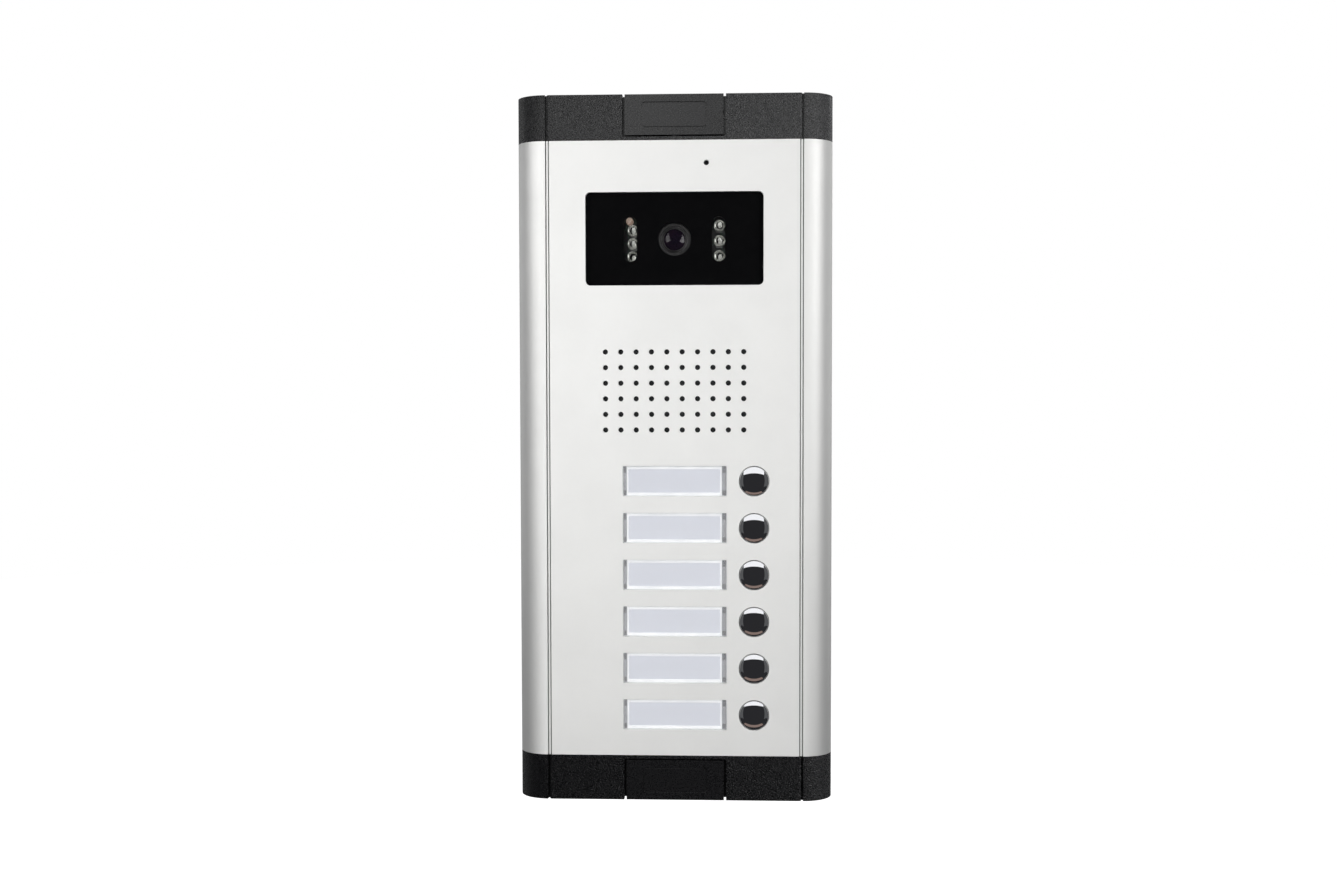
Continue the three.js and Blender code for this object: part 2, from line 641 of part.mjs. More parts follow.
function micLead() {
  const { x, z } = MIC;
  return wire([[x, -34.1, z], [x, -28, z], [x + 1, -17, z - 5], [x + 3, -13.4, z - 16],
    [x + 4, -12.8, 80], [x + 5, -14.2, 66], [x + 5, -18.4, 61.6], [x + 5, -21.6, 57],
    [x + 5, -20.3, 53]], 0.6, 8, 24);
}

// ---------- assembly ----------
const panel = new THREE.Group();

function add(name, solid, finish, group = panel, x = 0, z = 0) {
  const mesh = new THREE.Mesh(geometryOf(solid), finish);
  mesh.name = name;
  mesh.position.set(x, 0, z);
  group.add(mesh);
}

// One end of the panel; sign -1 mirrors it to the bottom.
function addEnd(where, sign) {
  const end = new THREE.Group();
  end.scale.z = sign;
  panel.add(end);
  add(`${where}_cap`, endCap(), BLACK_PLASTIC, end);
  add(`${where}_screw_cover`, screwCover(), BLACK_PLASTIC, end);
  add(`${where}_fixing_screw`, fixingScrew(), STEEL, end, 0, FIXING_Z);
  add(`${where}_cap_screw_left`, capScrew(-1), STEEL, end);
  add(`${where}_cap_screw_right`, capScrew(1), STEEL, end);
}

add("front_extrusion", frontExtrusion(), ALUMINIUM);
addEnd("top", 1);
addEnd("bottom", -1);
add("back_cover", backCover(), BLACK_PLASTIC);
add("wall_bracket", wallBracket(), STEEL);

add("camera_window", cameraWindow(), CLEAR_PLASTIC);
add("window_mask", windowMask(), BLACK_PRINT);
add("camera_housing", cameraHousing(), BLACK_PLASTIC);
add("ir_board", irBoard(), GREEN_BOARD);
LED_ROWS.forEach(({ x, top, pitch }, row) => {
  for (let place = 0; place < LED.perRow; place += 1) {
    const name = `ir_led_${row * LED.perRow + place + 1}`;
    add(name, irLamp(), CLEAR_PLASTIC, panel, x, WINDOW.z + top - place * pitch);
  }
});
add("light_sensor", lightSensor(), SENSOR_TAN, panel, LIGHT_SENSOR.x, WINDOW.z + LIGHT_SENSOR.rise);
add("camera_board", cameraBoard(), GREEN_BOARD);
add("lens_mount", lensMount(), BLACK_PLASTIC);
add("lens_barrel", lensBarrel(), BLACK_PLASTIC, panel, 0, WINDOW.z);
add("lens_glass", lensGlass(), LENS_GLASS, panel, 0, WINDOW.z);

add("mic_boot", micBoot(), RUBBER);
add("microphone", microphone(), STEEL);
add("speaker_mesh", speakerMesh(), CLOTH);
add("speaker_frame", speakerFrame(), STEEL, panel, 0, GRILLE.z);
add("speaker_cone", speakerCone(), PAPER_CONE, panel, 0, GRILLE.z);
add("speaker_magnet", speakerMagnet(), STEEL, panel, 0, GRILLE.z);

keyIndices.forEach((index) => {
  const number = index + 1;
  add(`name_window_${number}`, nameWindow(), CLEAR_PLASTIC, panel, 0, keyZ(index));
  add(`button_${number}`, callButton(), CHROME, panel, BUTTON.x, keyZ(index));
  add(`button_spring_${number}`, returnSpring(), SPRING_STEEL, panel, BUTTON.x, keyZ(index));
});
add("label_diffuser", labelDiffuser(), LABEL_WHITE);
add("button_carrier", buttonCarrier(), BLACK_PLASTIC);
add("key_board", keyBoard(), GREEN_BOARD);

add("main_board", mainBoard(), GREEN_BOARD);
add("terminal_block", terminalBlock(), TERMINAL_GREEN);
add("speaker_lead", speakerLead(), RED_WIRE);
add("camera_lead", cameraLead(), GREY_WIRE);
add("mic_lead", micLead(), GREY_WIRE);

export default panel;
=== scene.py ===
import math

import bmesh
import bpy
from mathutils import Euler, Matrix, Vector

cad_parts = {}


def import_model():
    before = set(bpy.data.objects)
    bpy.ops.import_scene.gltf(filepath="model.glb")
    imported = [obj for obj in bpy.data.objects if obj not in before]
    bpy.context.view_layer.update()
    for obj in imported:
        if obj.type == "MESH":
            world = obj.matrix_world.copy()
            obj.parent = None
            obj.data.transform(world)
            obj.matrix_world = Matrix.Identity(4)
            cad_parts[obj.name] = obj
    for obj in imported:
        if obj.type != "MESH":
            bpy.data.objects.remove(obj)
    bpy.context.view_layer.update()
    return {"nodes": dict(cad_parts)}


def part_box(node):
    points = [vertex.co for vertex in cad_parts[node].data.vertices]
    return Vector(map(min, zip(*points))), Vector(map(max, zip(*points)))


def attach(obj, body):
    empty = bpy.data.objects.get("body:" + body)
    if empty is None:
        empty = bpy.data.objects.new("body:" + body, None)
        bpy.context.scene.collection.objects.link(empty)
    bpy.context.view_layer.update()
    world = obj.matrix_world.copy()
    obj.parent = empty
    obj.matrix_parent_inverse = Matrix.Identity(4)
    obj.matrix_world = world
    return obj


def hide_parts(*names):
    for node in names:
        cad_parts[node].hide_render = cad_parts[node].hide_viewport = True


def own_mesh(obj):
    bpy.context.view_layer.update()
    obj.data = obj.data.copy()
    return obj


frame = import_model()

MM = 0.001
TURN = 2 * math.pi


# ---------------------------------------------------------------- places taken from the frame
def box(node):
    """Lowest and highest corner of a CAD node, in millimetres."""
    low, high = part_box(node)
    return low / MM, high / MM


def centre(node):
    low, high = box(node)
    return (low + high) / 2


CASE_LOW, CASE_HIGH = box("front_extrusion")
HALF_WIDTH = CASE_HIGH.x
FRONT = CASE_LOW.y
BACK = CASE_HIGH.y
SEAM_Z = CASE_HIGH.z
TOP_Z = box("top_cap")[1].z
CAP_FOOT = box("top_cap")[0].z
KEYS = range(1, 7)

# holes and openings in the front
BUTTON_HOLE = 6.25
SOUND_HOLE = 1.08
MIC_HOLE = 1.1
GRILLE_PITCH = (6.3, 6.4)

# case section
WALL = 2.0
WEB_BACK = FRONT + WALL
SIDE_ARC = (12.2, 10.0)
GROOVE = (51.2, 52.8)
CLEAR = 0.1
RIBS = ((57.5, -2.8, BACK), (60, -7.2, -5.2), (59, -14.2, -13), (59, -17.4, -16.2))

# end caps
CAP_WALL = 2.2
POCKET_HALF = 21.1
POCKET_SILL = SEAM_Z + 1.5
POCKET_FLOOR = -6.5
POCKET_MOUTH = FRONT + 14
RAIL_HALF = 22.4
RAIL = (FRONT + 3.4, FRONT + 5)
COVER_HALF = 20.15
COVER_INLAY = (26.4, 10.3, 1.4)
FIXING = centre("top_fixing_screw")
CAP_SCREW = centre("top_cap_screw_right")


# ---------------------------------------------------------------- mesh tools
def new_object(name, bm):
    bmesh.ops.recalc_face_normals(bm, faces=bm.faces)
    mesh = bpy.data.meshes.new(name)
    bm.to_mesh(mesh)
    bm.free()
    made = bpy.data.objects.new(name, mesh)
    bpy.context.scene.collection.objects.link(made)
    return made


def remove(*objects):
    for item in objects:
        data = item.data
        bpy.data.objects.remove(item)
        if isinstance(data, bpy.types.Mesh):
            bpy.data.meshes.remove(data)
        else:
            bpy.data.curves.remove(data)


def apply_modifiers(item):
    graph = bpy.context.evaluated_depsgraph_get()
    mesh = bpy.data.meshes.new_from_object(item.evaluated_get(graph))
    old = item.data
    item.modifiers.clear()
    item.data = mesh
    bpy.data.meshes.remove(old)
    return item


def combined(item, tools, operation):
    """item cut by or joined to the tools, which are used up."""
    for tool in tools:
        step = item.modifiers.new("combine", "BOOLEAN")
        step.operation = operation
        step.solver = "EXACT"
        step.object = tool
        apply_modifiers(item)
        remove(tool)
    return item


def cut(item, *tools):
    return combined(item, tools, "DIFFERENCE")


def joined(item, *tools):
    return combined(item, tools, "UNION")


def gathered(name, parts):
    """Separate solids as one object, with no boolean between them."""
    bm = bmesh.new()
    for part in parts:
        bm.from_mesh(part.data)
    remove(*parts)
    return new_object(name, bm)


def prism(name, outline, low, high, axis="z"):
    """An outline in X and Y raised along Z, or one in X and Z raised along Y."""
    bm = bmesh.new()

    def ring(level):
        if axis == "z":
            return [bm.verts.new((u, v, level)) for u, v in outline]
        return [bm.verts.new((u, level, v)) for u, v in outline]

    near, far = ring(low), ring(high)
    bm.faces.new(near)
    bm.faces.new(far)
    for i in range(len(outline)):
        bm.faces.new((near[i - 1], near[i], far[i], far[i - 1]))
    return new_object(name, bm)


def block(x0, x1, y0, y1, z0, z1, name="block"):
    return prism(name, [(x0, y0), (x1, y0), (x1, y1), (x0, y1)], z0, z1)


def turned(name, profile, x=0.0, z=0.0, sides=64, closed=False):
    """A profile of (radius, y) points turned about the Y line through (x, z)."""
    bm = bmesh.new()
    rings = []
    for radius, y in profile:
        count = 1 if radius < 1e-6 else sides
        angles = [TURN * i / count for i in range(count)]
        rings.append([
            bm.verts.new((x + radius * math.cos(a), y, z + radius * math.sin(a))) for a in angles
        ])
    pairs = list(zip(rings, rings[1:]))
    if closed:
        pairs.append((rings[-1], rings[0]))
    for near, far in pairs:
        for i in range(sides):
            j = (i + 1) % sides
            corners = [near[i % len(near)], near[j % len(near)], far[j % len(far)], far[i % len(far)]]
            bm.faces.new(list(dict.fromkeys(corners)))
    return new_object(name, bm)


def rod(x, z, radius, y0, y1, sides=32):
    return turned("rod", [(0, y0), (radius, y0), (radius, y1), (0, y1)], x, z, sides)


def pillar(x, y, radius, z0, z1, sides=32):
    outline = arc(x, y, radius, radius, 0, 360 - 360 / sides, sides - 1)
    return prism("pillar", outline, z0, z1)


def arc(u, v, across, deep, start, end, steps):
    angles = [math.radians(start + (end - start) * i / steps) for i in range(steps + 1)]
    return [(u + across * math.cos(a), v + deep * math.sin(a)) for a in angles]


def rounded(x, z, width, height, corner, steps=8):
    """Outline of a rectangle with rounded corners."""
    u, v = width / 2 - corner, height / 2 - corner
    corners = ((u, v, 0), (-u, v, 90), (-u, -v, 180), (u, -v, 270))
    return [
        point
        for du, dv, start in corners
        for point in arc(x + du, z + dv, corner, corner, start, start + 90, steps)
    ]


def rounded_plate(name, x, z, width, height, corner, y0, y1, steps=8):
    return prism(name, rounded(x, z, width, height, corner, steps), y0, y1, "y")


def wire(name, points, radius, smooth=True, sides=4):
    """A round wire along points; sides is Blender's bevel resolution."""
    curve = bpy.data.curves.new(name, "CURVE")
    curve.dimensions = "3D"
    curve.bevel_depth = radius
    curve.bevel_resolution = sides
    curve.use_fill_caps = True
    if smooth:
        spline = curve.splines.new("BEZIER")
        spline.bezier_points.add(len(points) - 1)
        for knot, place in zip(spline.bezier_points, points):
            knot.co = place
            knot.handle_left_type = knot.handle_right_type = "AUTO"
    else:
        spline = curve.splines.new("POLY")
        spline.points.add(len(points) - 1)
        for knot, place in zip(spline.points, points):
            knot.co = (*place, 1)
    path = bpy.data.objects.new(name, curve)
    bpy.context.scene.collection.objects.link(path)
    graph = bpy.context.evaluated_depsgraph_get()
    mesh = bpy.data.meshes.new_from_object(path.evaluated_get(graph))
    remove(path)
    bm = bmesh.new()
    bm.from_mesh(mesh)
    bpy.data.meshes.remove(mesh)
    bmesh.ops.remove_doubles(bm, verts=bm.verts, dist=1e-5)
    return new_object(name, bm)


def mirrored(item):
    """item turned into its mirror image below z = 0."""
    item.data.transform(Matrix.Scale(-1, 4, (0, 0, 1)))
    item.data.flip_normals()
    return item


def rounded_edges(item, width, segments=2, share=None, angle=30):
    """Rounds the sharp edges. share(middle, direction) may give an edge less than the whole width."""
    bm = bmesh.new()
    bm.from_mesh(item.data)
    bmesh.ops.dissolve_limit(bm, angle_limit=math.radians(0.5), verts=bm.verts, edges=bm.edges)
    weights = bm.edges.layers.float.get("bevel_weight_edge")
    weights = weights or bm.edges.layers.float.new("bevel_weight_edge")
    for edge in bm.edges:
        if len(edge.link_faces) != 2 or edge.calc_face_angle() < math.radians(angle):
            continue
        a, b = edge.verts[0].co, edge.verts[1].co
        edge[weights] = share((a + b) / 2, (b - a).normalized()) if share else 1.0
    bm.to_mesh(item.data)
    bm.free()
    step = item.modifiers.new("edges", "BEVEL")
    step.width = width
    step.segments = segments
    step.limit_method = "WEIGHT"
    step.loop_slide = False
    return cleaned(apply_modifiers(item))


def cleaned(item, gap=0.002):
    """Merges points closer than gap, so that no face is a sliver."""
    bm = bmesh.new()
    bm.from_mesh(item.data)
    bmesh.ops.remove_doubles(bm, verts=bm.verts, dist=gap)
    bmesh.ops.dissolve_degenerate(bm, edges=bm.edges, dist=gap)
    bm.to_mesh(item.data)
    bm.free()
    return item


def smoothed(item, angle=40):
    """Smooth shading where, of the faces that meet at a corner, the widest flat counts most."""
    bm = bmesh.new()
    bm.from_mesh(item.data)
    bm.faces.ensure_lookup_table()
    areas = flat_areas(bm)
    limit = math.cos(math.radians(angle))
    normals = []
    for face in bm.faces:
        for vertex in face.verts:
            total = Vector()
            for other in vertex.link_faces:
                if other.normal.dot(face.normal) > limit:
                    total += other.normal * areas[other.index]
            normals.append(total.normalized() if total.length > 0 else face.normal.copy())
    bm.free()
    mesh = item.data
    mesh.polygons.foreach_set("use_smooth", [True] * len(mesh.polygons))
    mesh.normals_split_custom_set(normals)
    return item


def flat_areas(bm):
    """For each face, the area of the whole flat region that it belongs to."""
    flat = math.cos(math.radians(0.3))
    areas = [0.0] * len(bm.faces)
    for start in bm.faces:
        if areas[start.index]:
            continue
        region, front = {start}, [start]
        while front:
            face = front.pop()
            for edge in face.edges:
                for other in edge.link_faces:
                    if other not in region and other.normal.dot(start.normal) > flat:
                        region.add(other)
                        front.append(other)
        whole = max(sum(face.calc_area() for face in region), 1e-9)
        for face in region:
            areas[face.index] = whole
    return areas


def place(item, name, body, finish, slot, replaces=()):
    """Names the piece, brings it to metres, and gives it its body and finish. The slot is not used."""
    smoothed(item)
    item.data.transform(Matrix.Scale(MM, 4))
    item.name = name
    item.data.name = name
    item.data.materials.clear()
    item.data.materials.append(finish)
    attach(item, body)
    if replaces:
        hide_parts(*replaces)
    return item


def second_finish(item, finish, inside):
    """Gives another material to the faces whose corners all lie inside a region, in millimetres."""
    item.data.materials.append(finish)
    corners = item.data.vertices
    for face in item.data.polygons:
        face.material_index = int(all(inside(*(corners[index].co / MM)) for index in face.vertices))


# ---------------------------------------------------------------- materials
def surface(name, colour, roughness, metallic=0.0, **sockets):
    """A Principled material; sockets are further inputs, with spaces written as underscores."""
    made = bpy.data.materials.new(name)
    made.use_nodes = True
    shader = made.node_tree.nodes["Principled BSDF"]
    shader.inputs["Base Color"].default_value = (*colour, 1)
    shader.inputs["Roughness"].default_value = roughness
    shader.inputs["Metallic"].default_value = metallic
    for key, value in sockets.items():
        shader.inputs[key.replace("_", " ")].default_value = value
    return made


def shader_of(finish):
    return finish.node_tree.nodes["Principled BSDF"]


def place_texture(finish, stretch=(1, 1, 1)):
    """Coordinates fixed to the piece, in metres."""
    nodes, links = finish.node_tree.nodes, finish.node_tree.links
    source = nodes.new("ShaderNodeTexCoord")
    mapping = nodes.new("ShaderNodeMapping")
    mapping.inputs["Scale"].default_value = stretch
    links.new(source.outputs["Object"], mapping.inputs["Vector"])
    return mapping.outputs["Vector"]


def noise(finish, scale, detail=3.0, stretch=(1, 1, 1)):
    nodes, links = finish.node_tree.nodes, finish.node_tree.links
    node = nodes.new("ShaderNodeTexNoise")
    node.inputs["Scale"].default_value = scale
    node.inputs["Detail"].default_value = detail
    links.new(place_texture(finish, stretch), node.inputs["Vector"])
    return node.outputs["Fac"]


def ranged(finish, value, low, high, start=0.3, end=0.7):
    nodes, links = finish.node_tree.nodes, finish.node_tree.links
    node = nodes.new("ShaderNodeMapRange")
    node.inputs["From Min"].default_value = start
    node.inputs["From Max"].default_value = end
    node.inputs["To Min"].default_value = low
    node.inputs["To Max"].default_value = high
    links.new(value, node.inputs["Value"])
    return node.outputs["Result"]


def ramp(finish, value, stops):
    nodes, links = finish.node_tree.nodes, finish.node_tree.links
    node = nodes.new("ShaderNodeValToRGB")
    bar = node.color_ramp
    while len(bar.elements) < len(stops):
        bar.elements.new(0.5)
    for element, (position, colour) in zip(bar.elements, stops):
        element.position = position
        element.color = (*colour, 1)
    links.new(value, node.inputs["Fac"])
    return node.outputs["Color"]


def vary_colour(finish, value, *stops):
    finish.node_tree.links.new(ramp(finish, value, stops), shader_of(finish).inputs["Base Color"])


def vary_roughness(finish, value, low, high):
    result = ranged(finish, value, low, high)
    finish.node_tree.links.new(result, shader_of(finish).inputs["Roughness"])


def bump(finish, value, strength, distance):
    """A relief of the given depth in metres."""
    nodes, links = finish.node_tree.nodes, finish.node_tree.links
    node = nodes.new("ShaderNodeBump")
    node.inputs["Strength"].default_value = strength
    node.inputs["Distance"].default_value = distance
    links.new(value, node.inputs["Height"])
    links.new(node.outputs["Normal"], shader_of(finish).inputs["Normal"])


def shades(colour, spread):
    """The colour a little darker and a little lighter, as two ramp stops."""
    dark = tuple(c * (1 - spread) for c in colour)
    light = tuple(min(1, c * (1 + spread)) for c in colour)
    return (0.35, dark), (0.65, light)


def satin_aluminium():
    colour = (0.93, 0.93, 0.915)
    made = surface("satin_aluminium", colour, 0.58, 1.0)
    vary_colour(made, noise(made, 45, 5), *shades(colour, 0.012))
    vary_roughness(made, noise(made, 900, 2), 0.55, 0.61)
    bump(made, noise(made, 5200, 2), 0.12, 0.00002)
    return made


def textured_abs(name, relief, roughness, speck, tone=0.004):
    colour = (tone, tone, 1.1 * tone)
    made = surface(name, colour, roughness, Specular_IOR_Level=0.8)
    grain = noise(made, 2100, 3)
    dark = tuple(0.4 * c for c in colour)
    light = tuple(speck * c for c in colour)
    vary_colour(made, grain, (0.44, dark), (0.62, light))
    vary_roughness(made, grain, roughness - 0.08, roughness + 0.12)
    bump(made, grain, relief, 0.0005)
    return made


def plain_plastic(name, colour, roughness=0.45, relief=0.12, scale=1400):
    made = surface(name, colour, roughness)
    vary_colour(made, noise(made, 160, 4), *shades(colour, 0.08))
    vary_roughness(made, noise(made, 500, 2), roughness - 0.05, roughness + 0.08)
    bump(made, noise(made, scale, 2), relief, 0.00005)
    return made


def chrome():
    made = surface("polished_chrome", (0.86, 0.86, 0.87), 0.04, 1.0)
    vary_roughness(made, noise(made, 420, 3), 0.02, 0.06)
    bump(made, noise(made, 90, 1), 0.03, 0.00005)
    return made


def metal(name, colour, low, high, scale=300, stretch=(1, 1, 1)):
    made = surface(name, colour, (low + high) / 2, 1.0)
    grain = noise(made, scale, 4, stretch)
    vary_colour(made, grain, *shades(colour, 0.10))
    vary_roughness(made, grain, low, high)
    bump(made, noise(made, scale * 6, 2, stretch), 0.10, 0.00003)
    return made


def clear_plastic(name, colour, alpha, roughness=0.05):
    made = surface(name, colour, roughness, Alpha=alpha)
    vary_roughness(made, noise(made, 700, 3), roughness, roughness + 0.05)
    bump(made, noise(made, 90, 1), 0.02, 0.00002)
    return made


def epoxy():
    made = surface("clear_epoxy", (0.78, 0.80, 0.78), 0.02, Transmission_Weight=1.0, IOR=1.5)
    vary_roughness(made, noise(made, 900, 2), 0.01, 0.06)
    bump(made, noise(made, 650, 2), 0.45, 0.0003)
    return made


def black_film():
    made = surface("black_film", (0.003, 0.003, 0.0035), 0.35, Specular_IOR_Level=0.2)
    vary_roughness(made, noise(made, 260, 3), 0.3, 0.4)
    return made


def lens_coating():
    made = surface("lens_coating", (0.02, 0.012, 0.028), 0.06, Coat_Weight=0.3, Coat_Roughness=0.03)
    vary_colour(made, noise(made, 240, 2), (0.3, (0.012, 0.008, 0.022)), (0.7, (0.030, 0.014, 0.030)))
    return made


def circuit_board(name, mask, copper):
    """Solder mask over tracks: fine bands in X and Z, broken up by cells."""
    made = surface(name, mask, 0.35)
    nodes, links = made.node_tree.nodes, made.node_tree.links
    cells = nodes.new("ShaderNodeTexVoronoi")
    cells.distance = "CHEBYCHEV"
    cells.feature = "DISTANCE_TO_EDGE"
    cells.inputs["Scale"].default_value = 210
    links.new(place_texture(made, (1, 0.05, 1)), cells.inputs["Vector"])
    tracks = ramp(made, cells.outputs["Distance"], ((0.02, copper), (0.09, mask)))
    links.new(tracks, shader_of(made).inputs["Base Color"])
    vary_roughness(made, noise(made, 400, 2), 0.28, 0.42)
    bump(made, cells.outputs["Distance"], 0.25, 0.00004)
    return made


def woven_cloth():
    colour = (0.022, 0.022, 0.024)
    made = surface("speaker_cloth", colour, 0.9)
    nodes, links = made.node_tree.nodes, made.node_tree.links
    waves = []
    for direction in ("X", "Z"):
        wave = nodes.new("ShaderNodeTexWave")
        wave.bands_direction = direction
        wave.inputs["Scale"].default_value = 620
        links.new(place_texture(made), wave.inputs["Vector"])
        waves.append(wave.outputs["Fac"])
    weave = nodes.new("ShaderNodeMath")
    weave.operation = "MULTIPLY"
    links.new(waves[0], weave.inputs[0])
    links.new(waves[1], weave.inputs[1])
    threads = weave.outputs["Value"]
    vary_colour(made, threads, (0.1, (0.006, 0.006, 0.007)), (0.8, (0.10, 0.10, 0.105)))
    bump(made, threads, 0.6, 0.0002)
    return made


def paper_cone():
    made = surface("paper_cone", (0.03, 0.029, 0.028), 0.85)
    fibres = noise(made, 700, 6, (1, 1, 3))
    vary_colour(made, fibres, *shades((0.03, 0.029, 0.028), 0.4))
    bump(made, fibres, 0.4, 0.0001)
    return made


def glowing_white():
    """Milky plastic with a painted glow: its even emission stands in for the little light it would
    pass on from behind.
    """
    made = plain_plastic("card_white_glow", (0.93, 0.94, 0.95), 0.35, 0.04)
    # painted glow: this plastic is no lamp
    shader_of(made).inputs["Emission Color"].default_value = (0.95, 0.97, 1.0, 1)
    shader_of(made).inputs["Emission Strength"].default_value = 0.22
    return made


def name_paper():
    colour = (0.84, 0.86, 0.93)
    made = surface("name_paper", colour, 0.55)
    fibres = noise(made, 1500, 5, (1, 1, 2))
    vary_colour(made, fibres, *shades(colour, 0.02))
    bump(made, fibres, 0.08, 0.00003)
    return made


ALUMINIUM = satin_aluminium()
CAP_ABS = textured_abs("cap_abs", 0.7, 0.26, 8.0)
COVER_ABS = textured_abs("cover_abs", 0.18, 0.28, 1.6, 0.010)
INLAY_ABS = textured_abs("inlay_abs", 0.1, 0.30, 1.5, 0.010)
# painted shade: a dark grey aluminium for the floors of the narrow slots, standing in for the shade
# deep in them
SLOT_SHADE_ALUMINIUM = metal("slot_shade_aluminium", (0.27, 0.27, 0.265), 0.5, 0.7, 400)
# the inside of the screw pocket: matte like an unpolished moulding, and darker than the cap, which is
# painted shade
POCKET_SHADE_ABS = plain_plastic("pocket_shade_abs", (0.002, 0.002, 0.002), 0.8, 0.15)
INNER_ABS = plain_plastic("inner_abs", (0.022, 0.022, 0.024))
CHROME = chrome()
ZINC = metal("zinc_plate", (0.62, 0.63, 0.65), 0.25, 0.45, 260)
SCREW_STEEL = metal("screw_steel", (0.58, 0.58, 0.60), 0.2, 0.35, 500)
SPRING_STEEL = metal("spring_wire", (0.60, 0.60, 0.61), 0.15, 0.3, 900)
PRESSED_STEEL = metal("pressed_steel", (0.45, 0.45, 0.46), 0.3, 0.5, 220)
MIRROR_CUP = metal("mirror_cup", (0.75, 0.75, 0.72), 0.06, 0.2, 900)
NAME_CLEAR = clear_plastic("name_window_clear", (0.92, 0.93, 0.96), 0.12)
CAMERA_CLEAR = clear_plastic("camera_pane_clear", (0.012, 0.012, 0.014), 0.12, 0.02)
FILM = black_film()
EPOXY = epoxy()
LENS = lens_coating()
LENS_BODY = plain_plastic("lens_body", (0.014, 0.013, 0.013), 0.35, 0.1)
BOARD_BLACK = circuit_board("board_black", (0.008, 0.012, 0.010), (0.02, 0.06, 0.035))
BOARD_GREEN = circuit_board("board_green", (0.012, 0.10, 0.045), (0.05, 0.24, 0.10))
TERMINAL = plain_plastic("terminal_green", (0.07, 0.30, 0.12), 0.4)
RUBBER = plain_plastic("boot_rubber", (0.02, 0.02, 0.021), 0.8, 0.3, 900)
CLOTH = woven_cloth()
PAPER = paper_cone()
SENSOR = plain_plastic("sensor_face_glow", (0.98, 0.72, 0.55), 0.3)
vary_colour(SENSOR, noise(SENSOR, 520, 2), (0.40, (0.30, 0.12, 0.06)), (0.55, (1.0, 0.85, 0.72)))
# painted glow: an emission on the light sensor, which is no lamp, to brighten its face
shader_of(SENSOR).inputs["Emission Color"].default_value = (1.0, 0.75, 0.6, 1)
shader_of(SENSOR).inputs["Emission Strength"].default_value = 0.25
CARD_WHITE_GLOW = glowing_white()
CARD_PAPER = name_paper()
CLIP_GREY = plain_plastic("clip_grey", (0.36, 0.365, 0.38), 0.3, 0.08)
CLIP_DARK = plain_plastic("clip_dark", (0.11, 0.11, 0.12), 0.35, 0.08)
RED_PVC = plain_plastic("red_pvc", (0.45, 0.03, 0.025), 0.45, 0.1)
GREY_PVC = plain_plastic("grey_pvc", (0.16, 0.16, 0.17), 0.5, 0.1)


# ---------------------------------------------------------------- case
def case_outline(inset, rear, steps=24):
    side = HALF_WIDTH - inset
    middle = FRONT + SIDE_ARC[1]
    across, deep = SIDE_ARC[0] - inset, SIDE_ARC[1] - inset
    start = HALF_WIDTH - SIDE_ARC[0]
    left = arc(-start, middle, across, deep, 180, 270, steps)
    right = arc(start, middle, across, deep, 270, 360, steps)
    return [(-side, rear), *left, *right, (side, rear)]


def groove_tools(outline, z0, z1):
    """Cutters for the two long grooves, from an outline of (distance from middle, depth)."""
    return [
        prism("groove", [(side * x, FRONT + depth) for x, depth in outline], z0, z1)
        for side in (-1, 1)
    ]


def shell_groove():
    """A shallow flute between two narrow slots."""
    inner, outer = GROOVE
    slot, shallow, deep = 0.5, 0.3, 1.3
    return [(inner, -1), (inner, deep), (inner + slot, deep), (inner + slot, shallow),
            (outer - slot, shallow), (outer - slot, deep), (outer, deep), (outer, -1)]


def cap_groove():
    """A slot beside the chamfered edge of the cap's flat front."""
    inner, outer = GROOVE
    slot, deep = 0.85, 1.7
    return [(inner, -1), (inner, 0), (outer - slot, 0.36), (outer - slot, deep), (outer, deep),
            (outer, -1)]


def front_shell():
    shell = prism("front_shell", case_outline(0, BACK), -SEAM_Z, SEAM_Z)
    cut(shell, prism("core", case_outline(WALL, 1), -SEAM_Z - 1, SEAM_Z + 1))
    ribs = [
        block(side * tip, side * (HALF_WIDTH - 1), y0, y1, -SEAM_Z, SEAM_Z)
        for tip, y0, y1 in RIBS
        for side in (-1, 1)
    ]
    bosses = [pillar(side * CAP_SCREW.x, CAP_SCREW.y, 3.5, -SEAM_Z, SEAM_Z) for side in (-1, 1)]
    joined(shell, gathered("ribs", ribs))
    joined(shell, gathered("bosses", bosses))
    bores = [
        pillar(side * CAP_SCREW.x, CAP_SCREW.y, 1.6, -SEAM_Z - 1, SEAM_Z + 1, 20)
        for side in (-1, 1)
    ]
    cut(shell, gathered("bores", bores + groove_tools(shell_groove(), -SEAM_Z - 1, SEAM_Z + 1)))
    cut(shell, gathered("openings", front_openings()))

    holes = sound_holes()

    def share(middle, way):
        in_groove = GROOVE[0] - 0.1 < abs(middle.x) < GROOVE[1] + 0.1
        in_hole = min(math.hypot(middle.x - x, middle.z - z) for x, z, _ in holes) < 1.4
        return 0.4 if in_groove or in_hole else 1.0

    rounded_edges(shell, 0.2, 2, share)
    place(shell, "front_shell", "case", ALUMINIUM, "satin_aluminium", ["front_extrusion"])
    # the slot floors get the darker aluminium, which is painted shade
    second_finish(shell, SLOT_SHADE_ALUMINIUM, in_slot)


def in_slot(x, y, z):
    return GROOVE[0] - 0.1 < abs(x) < GROOVE[1] + 0.1 and FRONT + 0.35 < y < FRONT + 1.4


def sound_holes():
    """Middle and radius of the microphone's hole and of each hole over the speaker."""
    microphone = centre("microphone")
    z = centre("speaker_mesh").z
    across, up = GRILLE_PITCH
    rows = [((column - 4.5) * across, z + (row - 2.5) * up, SOUND_HOLE)
            for row in range(6) for column in range(10)]
    return [(microphone.x, microphone.z, MIC_HOLE), *rows]


